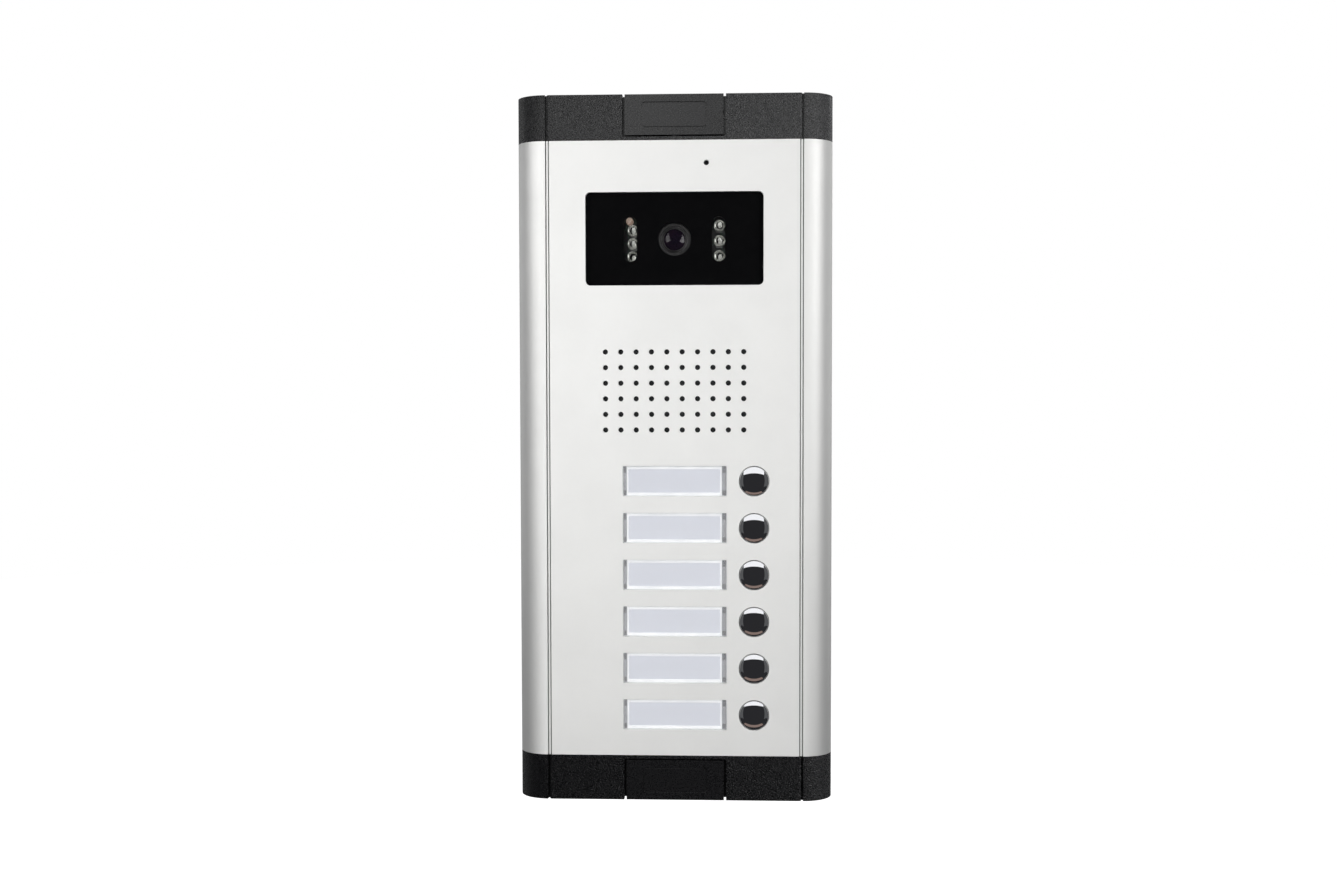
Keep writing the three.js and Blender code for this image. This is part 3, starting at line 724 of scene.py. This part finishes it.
def front_openings():
    y0, y1 = FRONT - 1, WEB_BACK + 1
    pane = centre("camera_window")
    low, high = box("camera_window")
    wide, tall = high.x - low.x + 0.7, high.z - low.z + 0.5
    tools = [rounded_plate("w", pane.x, pane.z, wide, tall, 2.1, y0, y1)]
    tools += [rod(x, z, radius, y0, y1, 24) for x, z, radius in sound_holes()]
    for key in KEYS:
        button = centre(f"button_{key}")
        tools.append(rod(button.x, button.z, BUTTON_HOLE, y0, y1, 64))
        tools.append(rounded_plate("n", 0, button.z, 42.8, 12.5, 0.35, y0, y1, 3))
    return tools


def end_cap():
    cap = prism("cap", case_outline(0, BACK), CAP_FOOT, TOP_Z)
    hollow = prism("hollow", case_outline(CAP_WALL, BACK - CAP_WALL), CAP_FOOT - 1, TOP_Z - CAP_WALL)
    cut(cap, hollow)
    joined(cap, block(-POCKET_HALF - 3, POCKET_HALF + 3, WEB_BACK - 1, BACK - 1, CAP_FOOT, TOP_Z - 1))
    for side in (-1, 1):
        joined(cap, pillar(side * CAP_SCREW.x, CAP_SCREW.y, 3.5, CAP_FOOT, TOP_Z - 1))
    half = POCKET_HALF
    cut(cap, block(-half, half, FRONT - 1, POCKET_MOUTH, POCKET_SILL, TOP_Z + 1))
    cut(cap, block(-half, half, POCKET_MOUTH - 0.1, POCKET_FLOOR, POCKET_SILL, TOP_Z - CAP_WALL))
    cut(cap, block(-RAIL_HALF, RAIL_HALF, *RAIL, POCKET_SILL, TOP_Z + 1))
    cut(cap, rod(0, FIXING.z, 2.3, POCKET_FLOOR - 1, 1), rod(0, FIXING.z, 3.7, -4.5, 1))
    cut(cap, block(-15, 15, -1.7, 1, CAP_FOOT - 1, 143.5))
    for side in (-1, 1):
        x = side * CAP_SCREW.x
        cut(cap, pillar(x, CAP_SCREW.y, 1.7, CAP_FOOT - 1, TOP_Z + 1, 20))
        cut(cap, pillar(x, CAP_SCREW.y, 3.2, TOP_Z - 1.5, TOP_Z + 1))
    cut(cap, *groove_tools(cap_groove(), CAP_FOOT - 1, TOP_Z + 1))

    def share(middle, way):
        if middle.z > TOP_Z - 0.01 and abs(way.z) < 0.5:
            return 1.0
        if middle.y < FRONT + 1:
            return 0.5 if abs(middle.x) > GROOVE[1] + 1 or middle.z < CAP_FOOT + 1 else 0.25
        return 0.3

    return rounded_edges(cap, 0.7, 3, share)


def screw_cover():
    low, high = box("top_screw_cover")
    half, foot = COVER_HALF, low.z
    rear = high.y
    cover = block(-half, half, FRONT, rear, foot, TOP_Z)
    cut(cover, block(-half + 1.6, half - 1.6, FRONT + 1.8, rear + 1, foot - 1, TOP_Z - 1.8))
    cut(cover, block(-half - 1, half + 1, FRONT + 5.2, rear + 1, foot - 1, TOP_Z - 1.8))
    tongues = [
        block(min(a, b), max(a, b), RAIL[0] + 0.2, RAIL[1] - 0.2, foot, TOP_Z - 0.3)
        for a, b in ((half - 0.5, high.x), (-half + 0.5, low.x))
    ]
    joined(cover, gathered("tongues", tongues))
    middle = (foot + TOP_Z) / 2
    cut(cover, rounded_plate("label", 0, middle, *COVER_INLAY, FRONT - 1, FRONT + 0.4))
    # thumb notch that lets the cover be eased out
    cut(cover, rod(half + 0.7, middle + 0.6, 1.1, FRONT - 1, FRONT + 1.2, 24))

    def share(where, way):
        if where.y > FRONT + 0.1 and where.y < FRONT + 0.5:
            return 0.35
        return 1.0 if where.y < FRONT + 0.1 and where.z > foot + 0.1 else 0.65

    return rounded_edges(cover, 0.35, 3, share)


def fixing_screw(name):
    z = centre(name).z
    profile = [(0, -9.2), (2.2, -9.15), (3.2, -8.8), (3.75, -8.1), (3.9, -7.4), (3.9, -6.6),
               (1.7, -6.6), (1.7, -0.9), (1.4, -0.7), (0, -0.7)]
    screw = turned("screw", profile, 0, z, 48)
    drive = [block(-2, 2, -10, -7.7, z - 0.45, z + 0.45), block(-0.45, 0.45, -10, -7.7, z - 2, z + 2)]
    cut(screw, *drive)
    rounded_edges(screw, 0.12, 2)
    place(screw, f"{name}_piece", "case", SCREW_STEEL, "screw_steel", [name])


def cap_screw(name):
    low, high = box(name)
    x, y = (low.x + high.x) / 2, (low.y + high.y) / 2
    sign = 1 if high.z > 0 else -1
    top = TOP_Z - CLEAR
    head = pillar(0, 0, 3.0, top - 1.3, top, 48)
    joined(head, pillar(0, 0, 1.35, abs(low.z if sign > 0 else high.z), top - 1.2, 32))
    cut(head, block(-2.2, 2.2, -0.4, 0.4, top - 0.9, top + 1))
    rounded_edges(head, 0.15, 2)
    if sign < 0:
        mirrored(head)
    head.data.transform(Matrix.Translation((x, y, 0)))
    place(head, f"{name}_piece", "case", SCREW_STEEL, "screw_steel", [name])


def ends():
    for where in ("top", "bottom"):
        turn = mirrored if where == "bottom" else lambda item: item
        cap = turn(end_cap())
        place(cap, f"{where}_end_cap", "case", CAP_ABS, "black_abs", [f"{where}_cap"])
        # the inside of the pocket gets the darker plastic, which is painted shade
        second_finish(cap, POCKET_SHADE_ABS, in_pocket)
        name = f"{where}_screw_cover"
        place(turn(screw_cover()), f"{where}_cover_shell", name, COVER_ABS, "black_abs", [name])
        inlay = rounded_plate("inlay", 0, (POCKET_SILL + TOP_Z) / 2 + 0.3, 25.8, 9.7, 1.1,
                              FRONT + 0.12, FRONT + 0.39)
        rounded_edges(inlay, 0.1, 2)
        place(turn(inlay), f"{where}_cover_inlay", name, INLAY_ABS, "black_abs")
        fixing_screw(f"{where}_fixing_screw")
        cap_screw(f"{where}_cap_screw_left")
        cap_screw(f"{where}_cap_screw_right")


def in_pocket(x, y, z):
    above_sill = abs(x) < RAIL_HALF + 0.1 and abs(z) > POCKET_SILL - 0.1
    return above_sill and FRONT + 0.1 < y < POCKET_FLOOR + 0.1


def back_cover():
    low, high = box("back_cover")
    cover = block(low.x, high.x, low.y, high.y, low.z, high.z)
    cut(cover, block(-27, 27, low.y - 1, high.y + 1, -72, -36))
    rounded_edges(cover, 0.3, 2)
    place(cover, "back_cover_sheet", "case", INNER_ABS, "black_inner_plastic", ["back_cover"])


def wall_bracket():
    low, high = box("wall_bracket")
    thick = 1.5
    sheet = rounded_plate("sheet", 0, 0, 100, 230, 3, -thick, 0)
    joined(sheet, rounded_plate("tongue", 0, 0, 28, high.z - low.z, 2, -thick, 0))
    for sign in (-1, 1):
        z = sign * FIXING.z
        joined(sheet, rod(0, z, 3.2, low.y, -thick / 2, 48))
        cut(sheet, rod(0, z, 1.85, low.y - 1, 1, 32))
    slots = [rounded_plate("s", x, z, 5, 12, 2.4, -3, 1) for x in (-38, 38) for z in (-85, 85)]
    slots += [rounded_plate("s", x, 20, 9, 4.6, 2.2, -3, 1) for x in (-30, 30)]
    slots.append(rounded_plate("window", 0, -54, 50, 32, 1.0, -3, 1))
    cut(sheet, gathered("slots", slots))
    rounded_edges(sheet, 0.18, 2)
    place(sheet, "bracket_sheet", "case", ZINC, "zinc_steel", ["wall_bracket"])


# ---------------------------------------------------------------- camera
def camera():
    low, high = box("camera_window")
    z = (low.z + high.z) / 2
    wide, tall = high.x - low.x + 0.5, high.z - low.z + 0.3
    pane = rounded_plate("pane", 0, z, wide, tall, 2.3, low.y, high.y, 12)
    rounded_edges(pane, 0.2, 3)
    place(pane, "camera_pane", "case", CAMERA_CLEAR, "clear_camera_pane", ["camera_window"])

    low, high = box("window_mask")
    mask = rounded_plate("mask", 0, z, high.x - low.x, high.z - low.z, 1.5, low.y, high.y)
    strips = [
        rounded_plate("strip", x, z, 5.4, 18.2, 2.6, low.y - 1, high.y + 1, 12)
        for x in (-18.1, 18.1)
    ]
    strips.append(rod(0, z, 6.8, low.y - 1, high.y + 1, 96))
    cut(mask, gathered("strips", strips))
    rounded_edges(mask, 0.1, 1)
    place(mask, "mask_film", "case", FILM, "black_print", ["window_mask"])

    low, high = box("camera_housing")
    tray = rounded_plate("tray", 0, z, high.x - low.x, high.z - low.z, 2, low.y, high.y)
    cut(tray, rounded_plate("inside", 0, z, high.x - low.x - 3, high.z - low.z - 3, 1,
                            low.y - 1, high.y - 1.5))
    for x in (-28, 28):
        for rise in (-15, 15):
            joined(tray, rod(x, z + rise, 2, -29.3, high.y - 0.5, 24))
    cut(tray, rod(0, z - 12, 2, high.y - 3, high.y + 1, 24))
    rounded_edges(tray, 0.25, 2)
    place(tray, "camera_tray", "case", INNER_ABS, "black_inner_plastic", ["camera_housing"])

    frame["nodes"]["ir_board"].data.materials[0] = BOARD_BLACK
    frame["nodes"]["camera_board"].data.materials[0] = BOARD_GREEN

    for index in range(1, 7):
        lamp(f"ir_led_{index}")
    sensor = centre("light_sensor")
    low, high = box("light_sensor")
    profile = [(0, low.y), (1.0, low.y + 0.02), (1.35, low.y + 0.2), (1.5, low.y + 0.6),
               (1.5, high.y), (0, high.y)]
    face = turned("sensor", profile, sensor.x, sensor.z, 32)
    place(face, "sensor_cell", "case", SENSOR, "sensor_tan", ["light_sensor"])

    barrel_profile = [(0, -36.6), (3.4, -36.6), (3.6, -36.9), (4.5, -37.1), (4.6, -37.5),
                      (5.3, -37.7), (5.4, -38.2), (5.7, -38.4), (6.6, -38.4), (6.9, -38.1),
                      (6.9, -33), (5.95, -33), (5.95, -24), (0, -24)]
    barrel = turned("barrel", barrel_profile, 0, z, 96)
    place(barrel, "lens_tube", "case", LENS_BODY, "black_inner_plastic", ["lens_barrel"])
    bow = [(4.5 * i / 10, -38.2 + 1.2 * (i / 10) ** 2) for i in range(11)]
    glass = turned("glass", [*bow, (4.5, -36.9), (0, -36.75)], 0, z, 96)
    place(glass, "front_element", "case", LENS, "lens_glass", ["lens_glass"])
    mount = turned("mount", [(6.1, -31.5), (7.4, -31.5), (7.4, -23.4), (8.0, -23.4), (8.0, -20.7),
                             (6.1, -20.7)], 0, z, 64, closed=True)
    rounded_edges(mount, 0.2, 2)
    place(mount, "lens_holder", "case", INNER_ABS, "black_inner_plastic", ["lens_mount"])


def lamp(name):
    """A clear lamp: epoxy body with a domed tip, and the little mirror cup and posts inside it."""
    low, high = box(name)
    x, z = (low.x + high.x) / 2, (low.z + high.z) / 2
    radius = 2.3
    tip = low.y
    dome = [(radius * math.sin(a), tip + radius - radius * math.cos(a))
            for a in [math.radians(90 * i / 10) for i in range(11)]]
    flange = [(radius, high.y - 1.1), (radius + 0.0, high.y - 1.0), (radius, high.y), (0, high.y)]
    body = turned("lamp", [*dome, *flange], x, z, 40)
    place(body, f"{name}_body", "case", EPOXY, "clear_led", [name])
    bowl = [(1.5 * math.sin(a), tip + 2.2 + 1.5 * math.cos(a))
            for a in [math.radians(58 * i / 8) for i in range(9)]]
    cup = turned("cup", [*bowl, (1.4, tip + 3.0), (1.4, tip + 4.4), (0, tip + 4.4)], x + 0.1, z, 32)
    posts = [block(x + a, x + a + 0.5, tip + 4.2, high.y - 0.1, z - 0.25, z + 0.25)
             for a in (-0.9, 0.5)]
    anvil = block(x - 1.2, x - 0.95, tip + 2.6, tip + 4.6, z - 0.4, z + 0.4)
    inside = gathered("inside", [cup, anvil, *posts])
    place(inside, f"{name}_cup", "case", MIRROR_CUP, "screw_steel")


# ---------------------------------------------------------------- sound
def sound():
    microphone = centre("microphone")
    low, high = box("microphone")
    can = turned("can", [(0, low.y + 0.15), (1.4, low.y + 0.15), (1.4, low.y), (2.7, low.y),
                         (3.0, low.y + 0.3), (3.0, high.y), (0, high.y)],
                 microphone.x, microphone.z, 48)
    place(can, "microphone_can", "case", PRESSED_STEEL, "speaker_steel", ["microphone"])
    near, far = low.y + 0.02, low.y + 0.12
    felt = turned("felt", [(0, near), (1.3, near), (1.3, far), (0, far)],
                  microphone.x, microphone.z, 32)
    place(felt, "microphone_felt", "case", CLOTH, "speaker_cloth")
    low, high = box("mic_boot")
    boot = turned("boot", [(0.95, low.y), (4.2, low.y), (4.5, low.y + 0.3), (4.5, high.y - 0.3),
                           (4.2, high.y), (3.1, high.y), (3.1, -39.3), (0.95, -39.3)],
                  microphone.x, microphone.z, 48, closed=True)
    place(boot, "microphone_boot", "case", RUBBER, "rubber_boot", ["mic_boot"])

    dust_cloth()
    z = centre("speaker_magnet").z
    basket = turned("basket", [(0, -29.2), (13.0, -29.2), (14.2, -29.8), (24.4, -38.0),
                               (24.8, -38.6), (24.8, -39.5), (28.0, -39.5), (28.4, -39.1),
                               (28.4, -38.7), (28.0, -38.3), (25.8, -38.3), (14.6, -28.4),
                               (14.0, -28.2), (0, -28.2)], 0, z, 96)
    place(basket, "speaker_basket", "case", PRESSED_STEEL, "speaker_steel", ["speaker_frame"])
    dome = [(8 * i / 8, -34.8 + 2.2 * (i / 8) ** 2) for i in range(9)]
    surround = [(22.0, -37.7), (22.8, -38.4), (23.6, -38.5), (24.3, -38.3), (24.3, -38.0),
                (23.4, -38.0), (22.4, -37.4)]
    cone = turned("cone", [*dome, *surround, (8.2, -31.6), (0, -31.6)], 0, z, 96)
    place(cone, "speaker_cone_paper", "case", PAPER, "speaker_paper", ["speaker_cone"])
    magnet = turned("magnet", [(0, -28.1), (14.8, -28.1), (14.8, -26.6), (13.6, -26.6),
                               (13.6, -21.0), (14.8, -21.0), (14.8, -19.2), (3, -19.2),
                               (2.4, -19.8), (0, -19.8)], 0, z, 64)
    rounded_edges(magnet, 0.25, 2)
    place(magnet, "speaker_magnet_stack", "case", PRESSED_STEEL, "speaker_steel", ["speaker_magnet"])


def dust_cloth():
    """A flat cut of cloth, stretched over the back of the grille."""
    low, high = box("speaker_mesh")
    cloth = block(low.x, high.x, low.y, high.y, low.z, high.z)
    place(cloth, "speaker_dust_cloth", "case", CLOTH, "speaker_cloth", ["speaker_mesh"])


# ---------------------------------------------------------------- keys
def call_button(key):
    """A shallow dome with a rounded rim, on its flange and stem."""
    node = f"button_{key}"
    button = centre(node)
    low, high = box(node)
    apex, radius, rise, lip = low.y, 6.0, 1.65, 0.45
    reach = radius - lip
    ball = (reach ** 2 + rise ** 2) / (2 * rise)
    edge = math.asin(reach / ball)
    dome = [(ball * math.sin(edge * i / 28), apex + ball * (1 - math.cos(edge * i / 28)))
            for i in range(29)]
    rim = [(reach + lip * math.sin(a), apex + rise + 0.1 + lip * (1 - math.cos(a)))
           for a in [math.radians(30 + 10 * i) for i in range(7)]]
    skirt = [(radius, -40.1), (radius + 0.1, -39.9), (7.3, -39.9), (7.3, -38.9), (2.0, -38.9),
             (2.0, high.y + 0.3), (1.7, high.y), (0, high.y)]
    body = turned("button", [*dome, *rim, *skirt], button.x, button.z, 96)
    place(body, f"{node}_dome", node, CHROME, "chrome", [node])


def return_spring(key):
    node = f"button_spring_{key}"
    low, high = box(node)
    middle = (low + high) / 2
    thick, turns, per_turn = 0.3, 3.5, 24
    radius = (high.x - low.x) / 2 - thick
    y0, y1 = low.y + thick, high.y - thick
    count = int(turns * per_turn)
    points = []
    for i in range(count + 1):
        # the end turns lie flat, so the pitch eases in and out
        share = i / count
        eased = share * share * (3 - 2 * share)
        angle = TURN * i / per_turn
        points.append((middle.x + radius * math.cos(angle), y0 + (y1 - y0) * eased,
                       middle.z + radius * math.sin(angle)))
    coil = wire("coil", points, thick, smooth=False, sides=2)
    place(coil, f"{node}_coil", "case", SPRING_STEEL, "spring_steel", [node])
    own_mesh(coil)


def name_window(key):
    """A clear cover with a milky moulded rim behind it, a paper card and two grey end clips."""
    node = f"name_window_{key}"
    z = centre(node).z
    low, high = box(node)
    skin = low.y + 0.7
    clear = rounded_plate("clear", 0, z, 42.7, 12.42, 0.3, low.y, skin, 4)
    rounded_edges(clear, 0.2, 3)
    place(clear, f"{node}_clear", "case", NAME_CLEAR, "clear_name_window", [node])

    # the rim's middle lies a little left, because the right-hand clip is the wider one
    left, right = -19.75, 19.3
    width, height, middle = right - left, 12.0, (left + right) / 2
    rim = rounded_plate("rim", middle, z, width, height, 0.4, skin + 0.05, high.y, 4)
    cut(rim, rounded_plate("well", middle, z, width - 1.1, height - 2.2, 0.3, skin - 1, skin + 0.4, 4))
    rounded_edges(rim, 0.3, 3)
    # the rim's material carries a painted glow
    place(rim, f"{node}_rim", "case", CARD_WHITE_GLOW, "white_label")
    paper = rounded_plate("paper", middle, z, width - 1.3, height - 2.4, 0.2, skin + 0.3,
                          skin + 0.38, 4)
    place(paper, f"{node}_card", "case", CARD_PAPER, "white_label")
    end_clips(node, z, skin)


def end_clips(node, z, skin):
    """The moulded end clips of a name window, each with a darker pad above and below."""
    bars, pads = [], []
    for x0, x1 in ((-21.2, -19.85), (19.4, 21.2)):
        bars.append(block(x0, x1, skin + 0.1, skin + 0.9, z - 6.0, z + 6.0))
        for z0, z1 in ((3.4, 5.9), (-5.9, -3.9)):
            pads.append(block(x0 + 0.2, x1 - 0.2, skin + 0.02, skin + 0.09, z + z0, z + z1))
    bars = rounded_edges(gathered("bars", bars), 0.2, 2)
    place(bars, f"{node}_end_clips", "case", CLIP_GREY, "clear_name_window")
    place(gathered("pads", pads), f"{node}_clip_pads", "case", CLIP_DARK, "black_inner_plastic")


def keys():
    for key in KEYS:
        call_button(key)
        return_spring(key)
        name_window(key)
    low, high = box("label_diffuser")
    sheet = block(low.x, high.x, low.y + 0.1, high.y, low.z, high.z)
    rounded_edges(sheet, 0.2, 2)
    # the diffuser's material carries a painted glow
    place(sheet, "diffuser_sheet", "case", CARD_WHITE_GLOW, "white_label", ["label_diffuser"])
    frame["nodes"]["button_carrier"].data.materials[0] = INNER_ABS
    frame["nodes"]["key_board"].data.materials[0] = BOARD_GREEN


# ---------------------------------------------------------------- electronics
def electronics():
    frame["nodes"]["main_board"].data.materials[0] = BOARD_GREEN
    low, high = box("terminal_block")
    frame["nodes"]["terminal_block"].data.materials[0] = TERMINAL
    pitch = (high.x - low.x) / 8
    heads = []
    for way in range(8):
        x = (way - 3.5) * pitch
        z = (low.z + high.z) / 2
        head = rod(x, z, 1.45, high.y - 1.9, high.y - 0.7, 24)
        heads.append(cut(head, block(x - 1.2, x + 1.2, high.y - 1.2, high.y, z - 0.22, z + 0.22)))
    place(gathered("heads", heads), "terminal_screws", "case", SCREW_STEEL, "screw_steel")
    leads()


def leads():
    window = centre("camera_window")
    z = window.z - 12
    microphone = centre("microphone")
    x, up = microphone.x, microphone.z
    routes = {
        "speaker_lead": ([(16, -27.4, 8), (18, -25.4, 6.6), (22, -24, 4), (28.6, -23, 0),
                          (30, -21.8, -2.4), (30, -20.2, -3)], 0.7, RED_PVC, "lead_red"),
        "camera_lead": ([(0, -18.9, z), (0, -17.2, z), (0, -14.6, z - 1.4), (0, -13.2, z - 6),
                         (0, -14.6, 62.6), (0, -17.4, 61.6), (0, -20.6, 60), (0, -22, 57.4),
                         (0, -20.4, 55)], 0.8, GREY_PVC, "lead_grey"),
        "mic_lead": ([(x, -34.1, up), (x, -28, up), (x + 1, -17, up - 5), (x + 3, -13.4, up - 16),
                      (x + 4, -12.8, 80), (x + 5, -14.2, 66), (x + 5, -18.4, 61.6),
                      (x + 5, -21.6, 57), (x + 5, -20.3, 53)], 0.6, GREY_PVC, "lead_grey"),
    }
    for name, (points, radius, finish, slot) in routes.items():
        place(wire(name, points, radius), f"{name}_wire", "case", finish, slot, [name])


# ---------------------------------------------------------------- stage
def emitter(name, colour, strength):
    made = bpy.data.materials.new(name)
    made.use_nodes = True
    nodes, links = made.node_tree.nodes, made.node_tree.links
    nodes.clear()
    glow = nodes.new("ShaderNodeEmission")
    glow.inputs["Color"].default_value = (*colour, 1)
    glow.inputs["Strength"].default_value = strength
    out = nodes.new("ShaderNodeOutputMaterial")
    links.new(glow.outputs["Emission"], out.inputs["Surface"])
    return made


def stage_mesh(name, vertices, faces, finish, camera=True, diffuse=True, glossy=True):
    mesh = bpy.data.meshes.new(name)
    mesh.from_pydata(vertices, [], faces)
    mesh.materials.append(finish)
    made = bpy.data.objects.new(name, mesh)
    bpy.context.scene.collection.objects.link(made)
    made.visible_camera = camera
    made.visible_diffuse = diffuse
    made.visible_glossy = glossy
    made.visible_transmission = camera
    made.visible_shadow = camera
    return made


def area_light(name, place_at, target, size, power, roll=0):
    data = bpy.data.lights.new(name, "AREA")
    data.shape = "RECTANGLE"
    data.size, data.size_y = size
    data.energy = power
    made = bpy.data.objects.new(name, data)
    made.location = place_at
    aim = (Vector(target) - Vector(place_at)).to_track_quat("-Z", "Y").to_matrix()
    made.rotation_euler = (aim @ Matrix.Rotation(math.radians(roll), 3, "Z")).to_euler()
    made.visible_camera = False
    bpy.context.scene.collection.objects.link(made)
    return made


def floor():
    """A plain pale floor, well below the panel."""
    finish = surface("floor_paint", (0.80, 0.80, 0.79), 0.6)
    vary_roughness(finish, noise(finish, 30, 3), 0.55, 0.7)
    shader_of(finish).inputs["Emission Color"].default_value = (1, 1, 1, 1)
    shader_of(finish).inputs["Emission Strength"].default_value = 0.93
    reach, level = 5.5, -0.72
    angles = [TURN * i / 96 for i in range(96)]
    ring = [(reach * math.cos(a), reach * math.sin(a), level) for a in angles]
    made = stage_mesh("floor", ring, [tuple(range(96))], finish, diffuse=False, glossy=False)
    made.visible_shadow = False


def backdrop():
    """A white dome that lights nothing and shows in no reflection."""
    bm = bmesh.new()
    bmesh.ops.create_icosphere(bm, subdivisions=4, radius=6)
    dome = new_object("backdrop", bm)
    dome.data.materials.append(emitter("backdrop_white", (1, 1, 1), 1.0))
    dome.visible_diffuse = dome.visible_glossy = dome.visible_shadow = False


def studio_cards():
    """Plain rectangles to mirror: dark in front and below, a soft box overhead, a warm card low."""
    bright = emitter("card_bright", (0.97, 0.98, 1.0), 1.05)
    warm = emitter("card_warm", (0.62, 0.46, 0.40), 0.42)
    dark = emitter("card_dark", (0.5, 0.5, 0.55), 0.05)
    front, ground, wide, tall = -2.4, -2.0, 3.0, 2.4
    card("card_backdrop", [(-wide, front, ground), (wide, front, ground), (wide, front, tall),
                           (-wide, front, tall)], dark)
    card("card_shade", [(-4, front, ground), (4, front, ground), (4, 0.6, ground),
                        (-4, 0.6, ground)], dark)
    for_domes(card("card_soft_box", [(-1.5, -1.2, 0.8), (1.5, -1.2, 0.8), (1.5, -0.5, 1.6),
                                     (-1.5, -0.5, 1.6)], bright))
    for_domes(card("card_low", [(-1.0, -0.9, -1.4), (1.0, -0.9, -1.4), (1.0, -0.5, -1.4),
                                (-1.0, -0.5, -1.4)], warm))


def card(name, corners, finish):
    return stage_mesh(name, corners, [tuple(range(len(corners)))], finish, camera=False, diffuse=False)


def for_domes(made):
    """Only the button domes see this card."""
    seers = bpy.data.collections.new(f"{made.name}_seers")
    made.light_linking.receiver_collection = seers
    for key in KEYS:
        seers.objects.link(bpy.data.objects[f"button_{key}_dome"])


def world():
    made = bpy.data.worlds.new("studio")
    bpy.context.scene.world = made
    made.use_nodes = True
    sky = made.node_tree.nodes["Background"]
    sky.inputs["Color"].default_value = (0.95, 0.97, 1.0, 1)
    sky.inputs["Strength"].default_value = 0.105


def lights():
    main = area_light("main", (-0.30, -1.25, 0.58), (0, 0, 0), (0.9, 0.9), 3.05)
    level = area_light("level", (-0.25, -1.5, 0.05), (0, 0, 0), (0.9, 0.9), 2.7)
    low = area_light("low", (-0.15, -1.4, -0.5), (0, 0, 0), (0.9, 0.7), 2.4)
    left = area_light("left_box", (-0.80, -0.86, 0.48), (0, 0, 0), (0.50, 1.15), 4.1, 24)
    right = area_light("right_box", (0.86, -0.86, 0.40), (0, 0, 0), (0.40, 1.15), 6.3, -24)
    # behind the front plane, for the sides, the ends and the back
    area_light("left_side", (-1.3, 0.6, 0.2), (0, 0, 0), (0.9, 0.9), 1.5)
    area_light("right_side", (1.3, 0.6, 0.2), (0, 0, 0), (0.9, 0.9), 1.8)
    area_light("over", (0, 0.5, 1.4), (0, 0, 0), (0.9, 0.9), 3.5)
    area_light("under", (0, 0.5, -1.4), (0, 0, 0), (0.9, 0.9), 4.0)
    area_light("rear", (0.5, 1.2, 1.1), (0, 0, 0), (1.2, 1.2), 15)
    # the lights in front would show as bright squares in chrome and glass, and grey the black ends
    domes = [f"button_{key}_dome" for key in KEYS]
    mirrors = domes + ["camera_pane", "mask_film", "front_element"]
    mirrors += [f"ir_led_{index}_{part}" for index in range(1, 7) for part in ("body", "cup")]
    top, bottom = ([f"{where}_{part}" for part in ("end_cap", "cover_shell", "cover_inlay")]
                   for where in ("top", "bottom"))
    spare(main, mirrors + ["bottom_end_cap"])
    spare(level, mirrors + top[1:] + bottom)
    spare(low, mirrors + top + bottom)
    spare(left, domes + ["top_end_cap", "bottom_end_cap"])
    spare(right, domes)


def spare(light, names):
    """Keeps a light off the named pieces."""
    spared = bpy.data.collections.new(f"{light.name}_spares")
    light.light_linking.receiver_collection = spared
    for name in names:
        spared.objects.link(bpy.data.objects[name])
    for member in spared.collection_objects:
        member.light_linking.link_state = "EXCLUDE"


def camera_view():
    data = bpy.data.cameras.new("camera")
    data.sensor_width = 36
    data.lens = 36.1
    made = bpy.data.objects.new("camera", data)
    bpy.context.scene.collection.objects.link(made)
    # nearly square on, a little to the right of the panel and above its middle
    stand = Vector((19.3, FRONT - 549.4, 23.0)) * MM
    aim = Euler([math.radians(a) for a in (-2.126, 0.105, 2.268)], "XYZ").to_matrix()
    made.matrix_world = (
        Matrix.Translation(stand) @ (aim @ Matrix.Rotation(math.radians(90), 3, "X")).to_4x4()
    )
    data.clip_start = 0.01
    bpy.context.scene.camera = made
    bpy.context.scene.view_settings.view_transform = "Standard"


front_shell()
ends()
back_cover()
wall_bracket()
camera()
sound()
keys()
electronics()
floor()
backdrop()
studio_cards()
world()
lights()
camera_view()
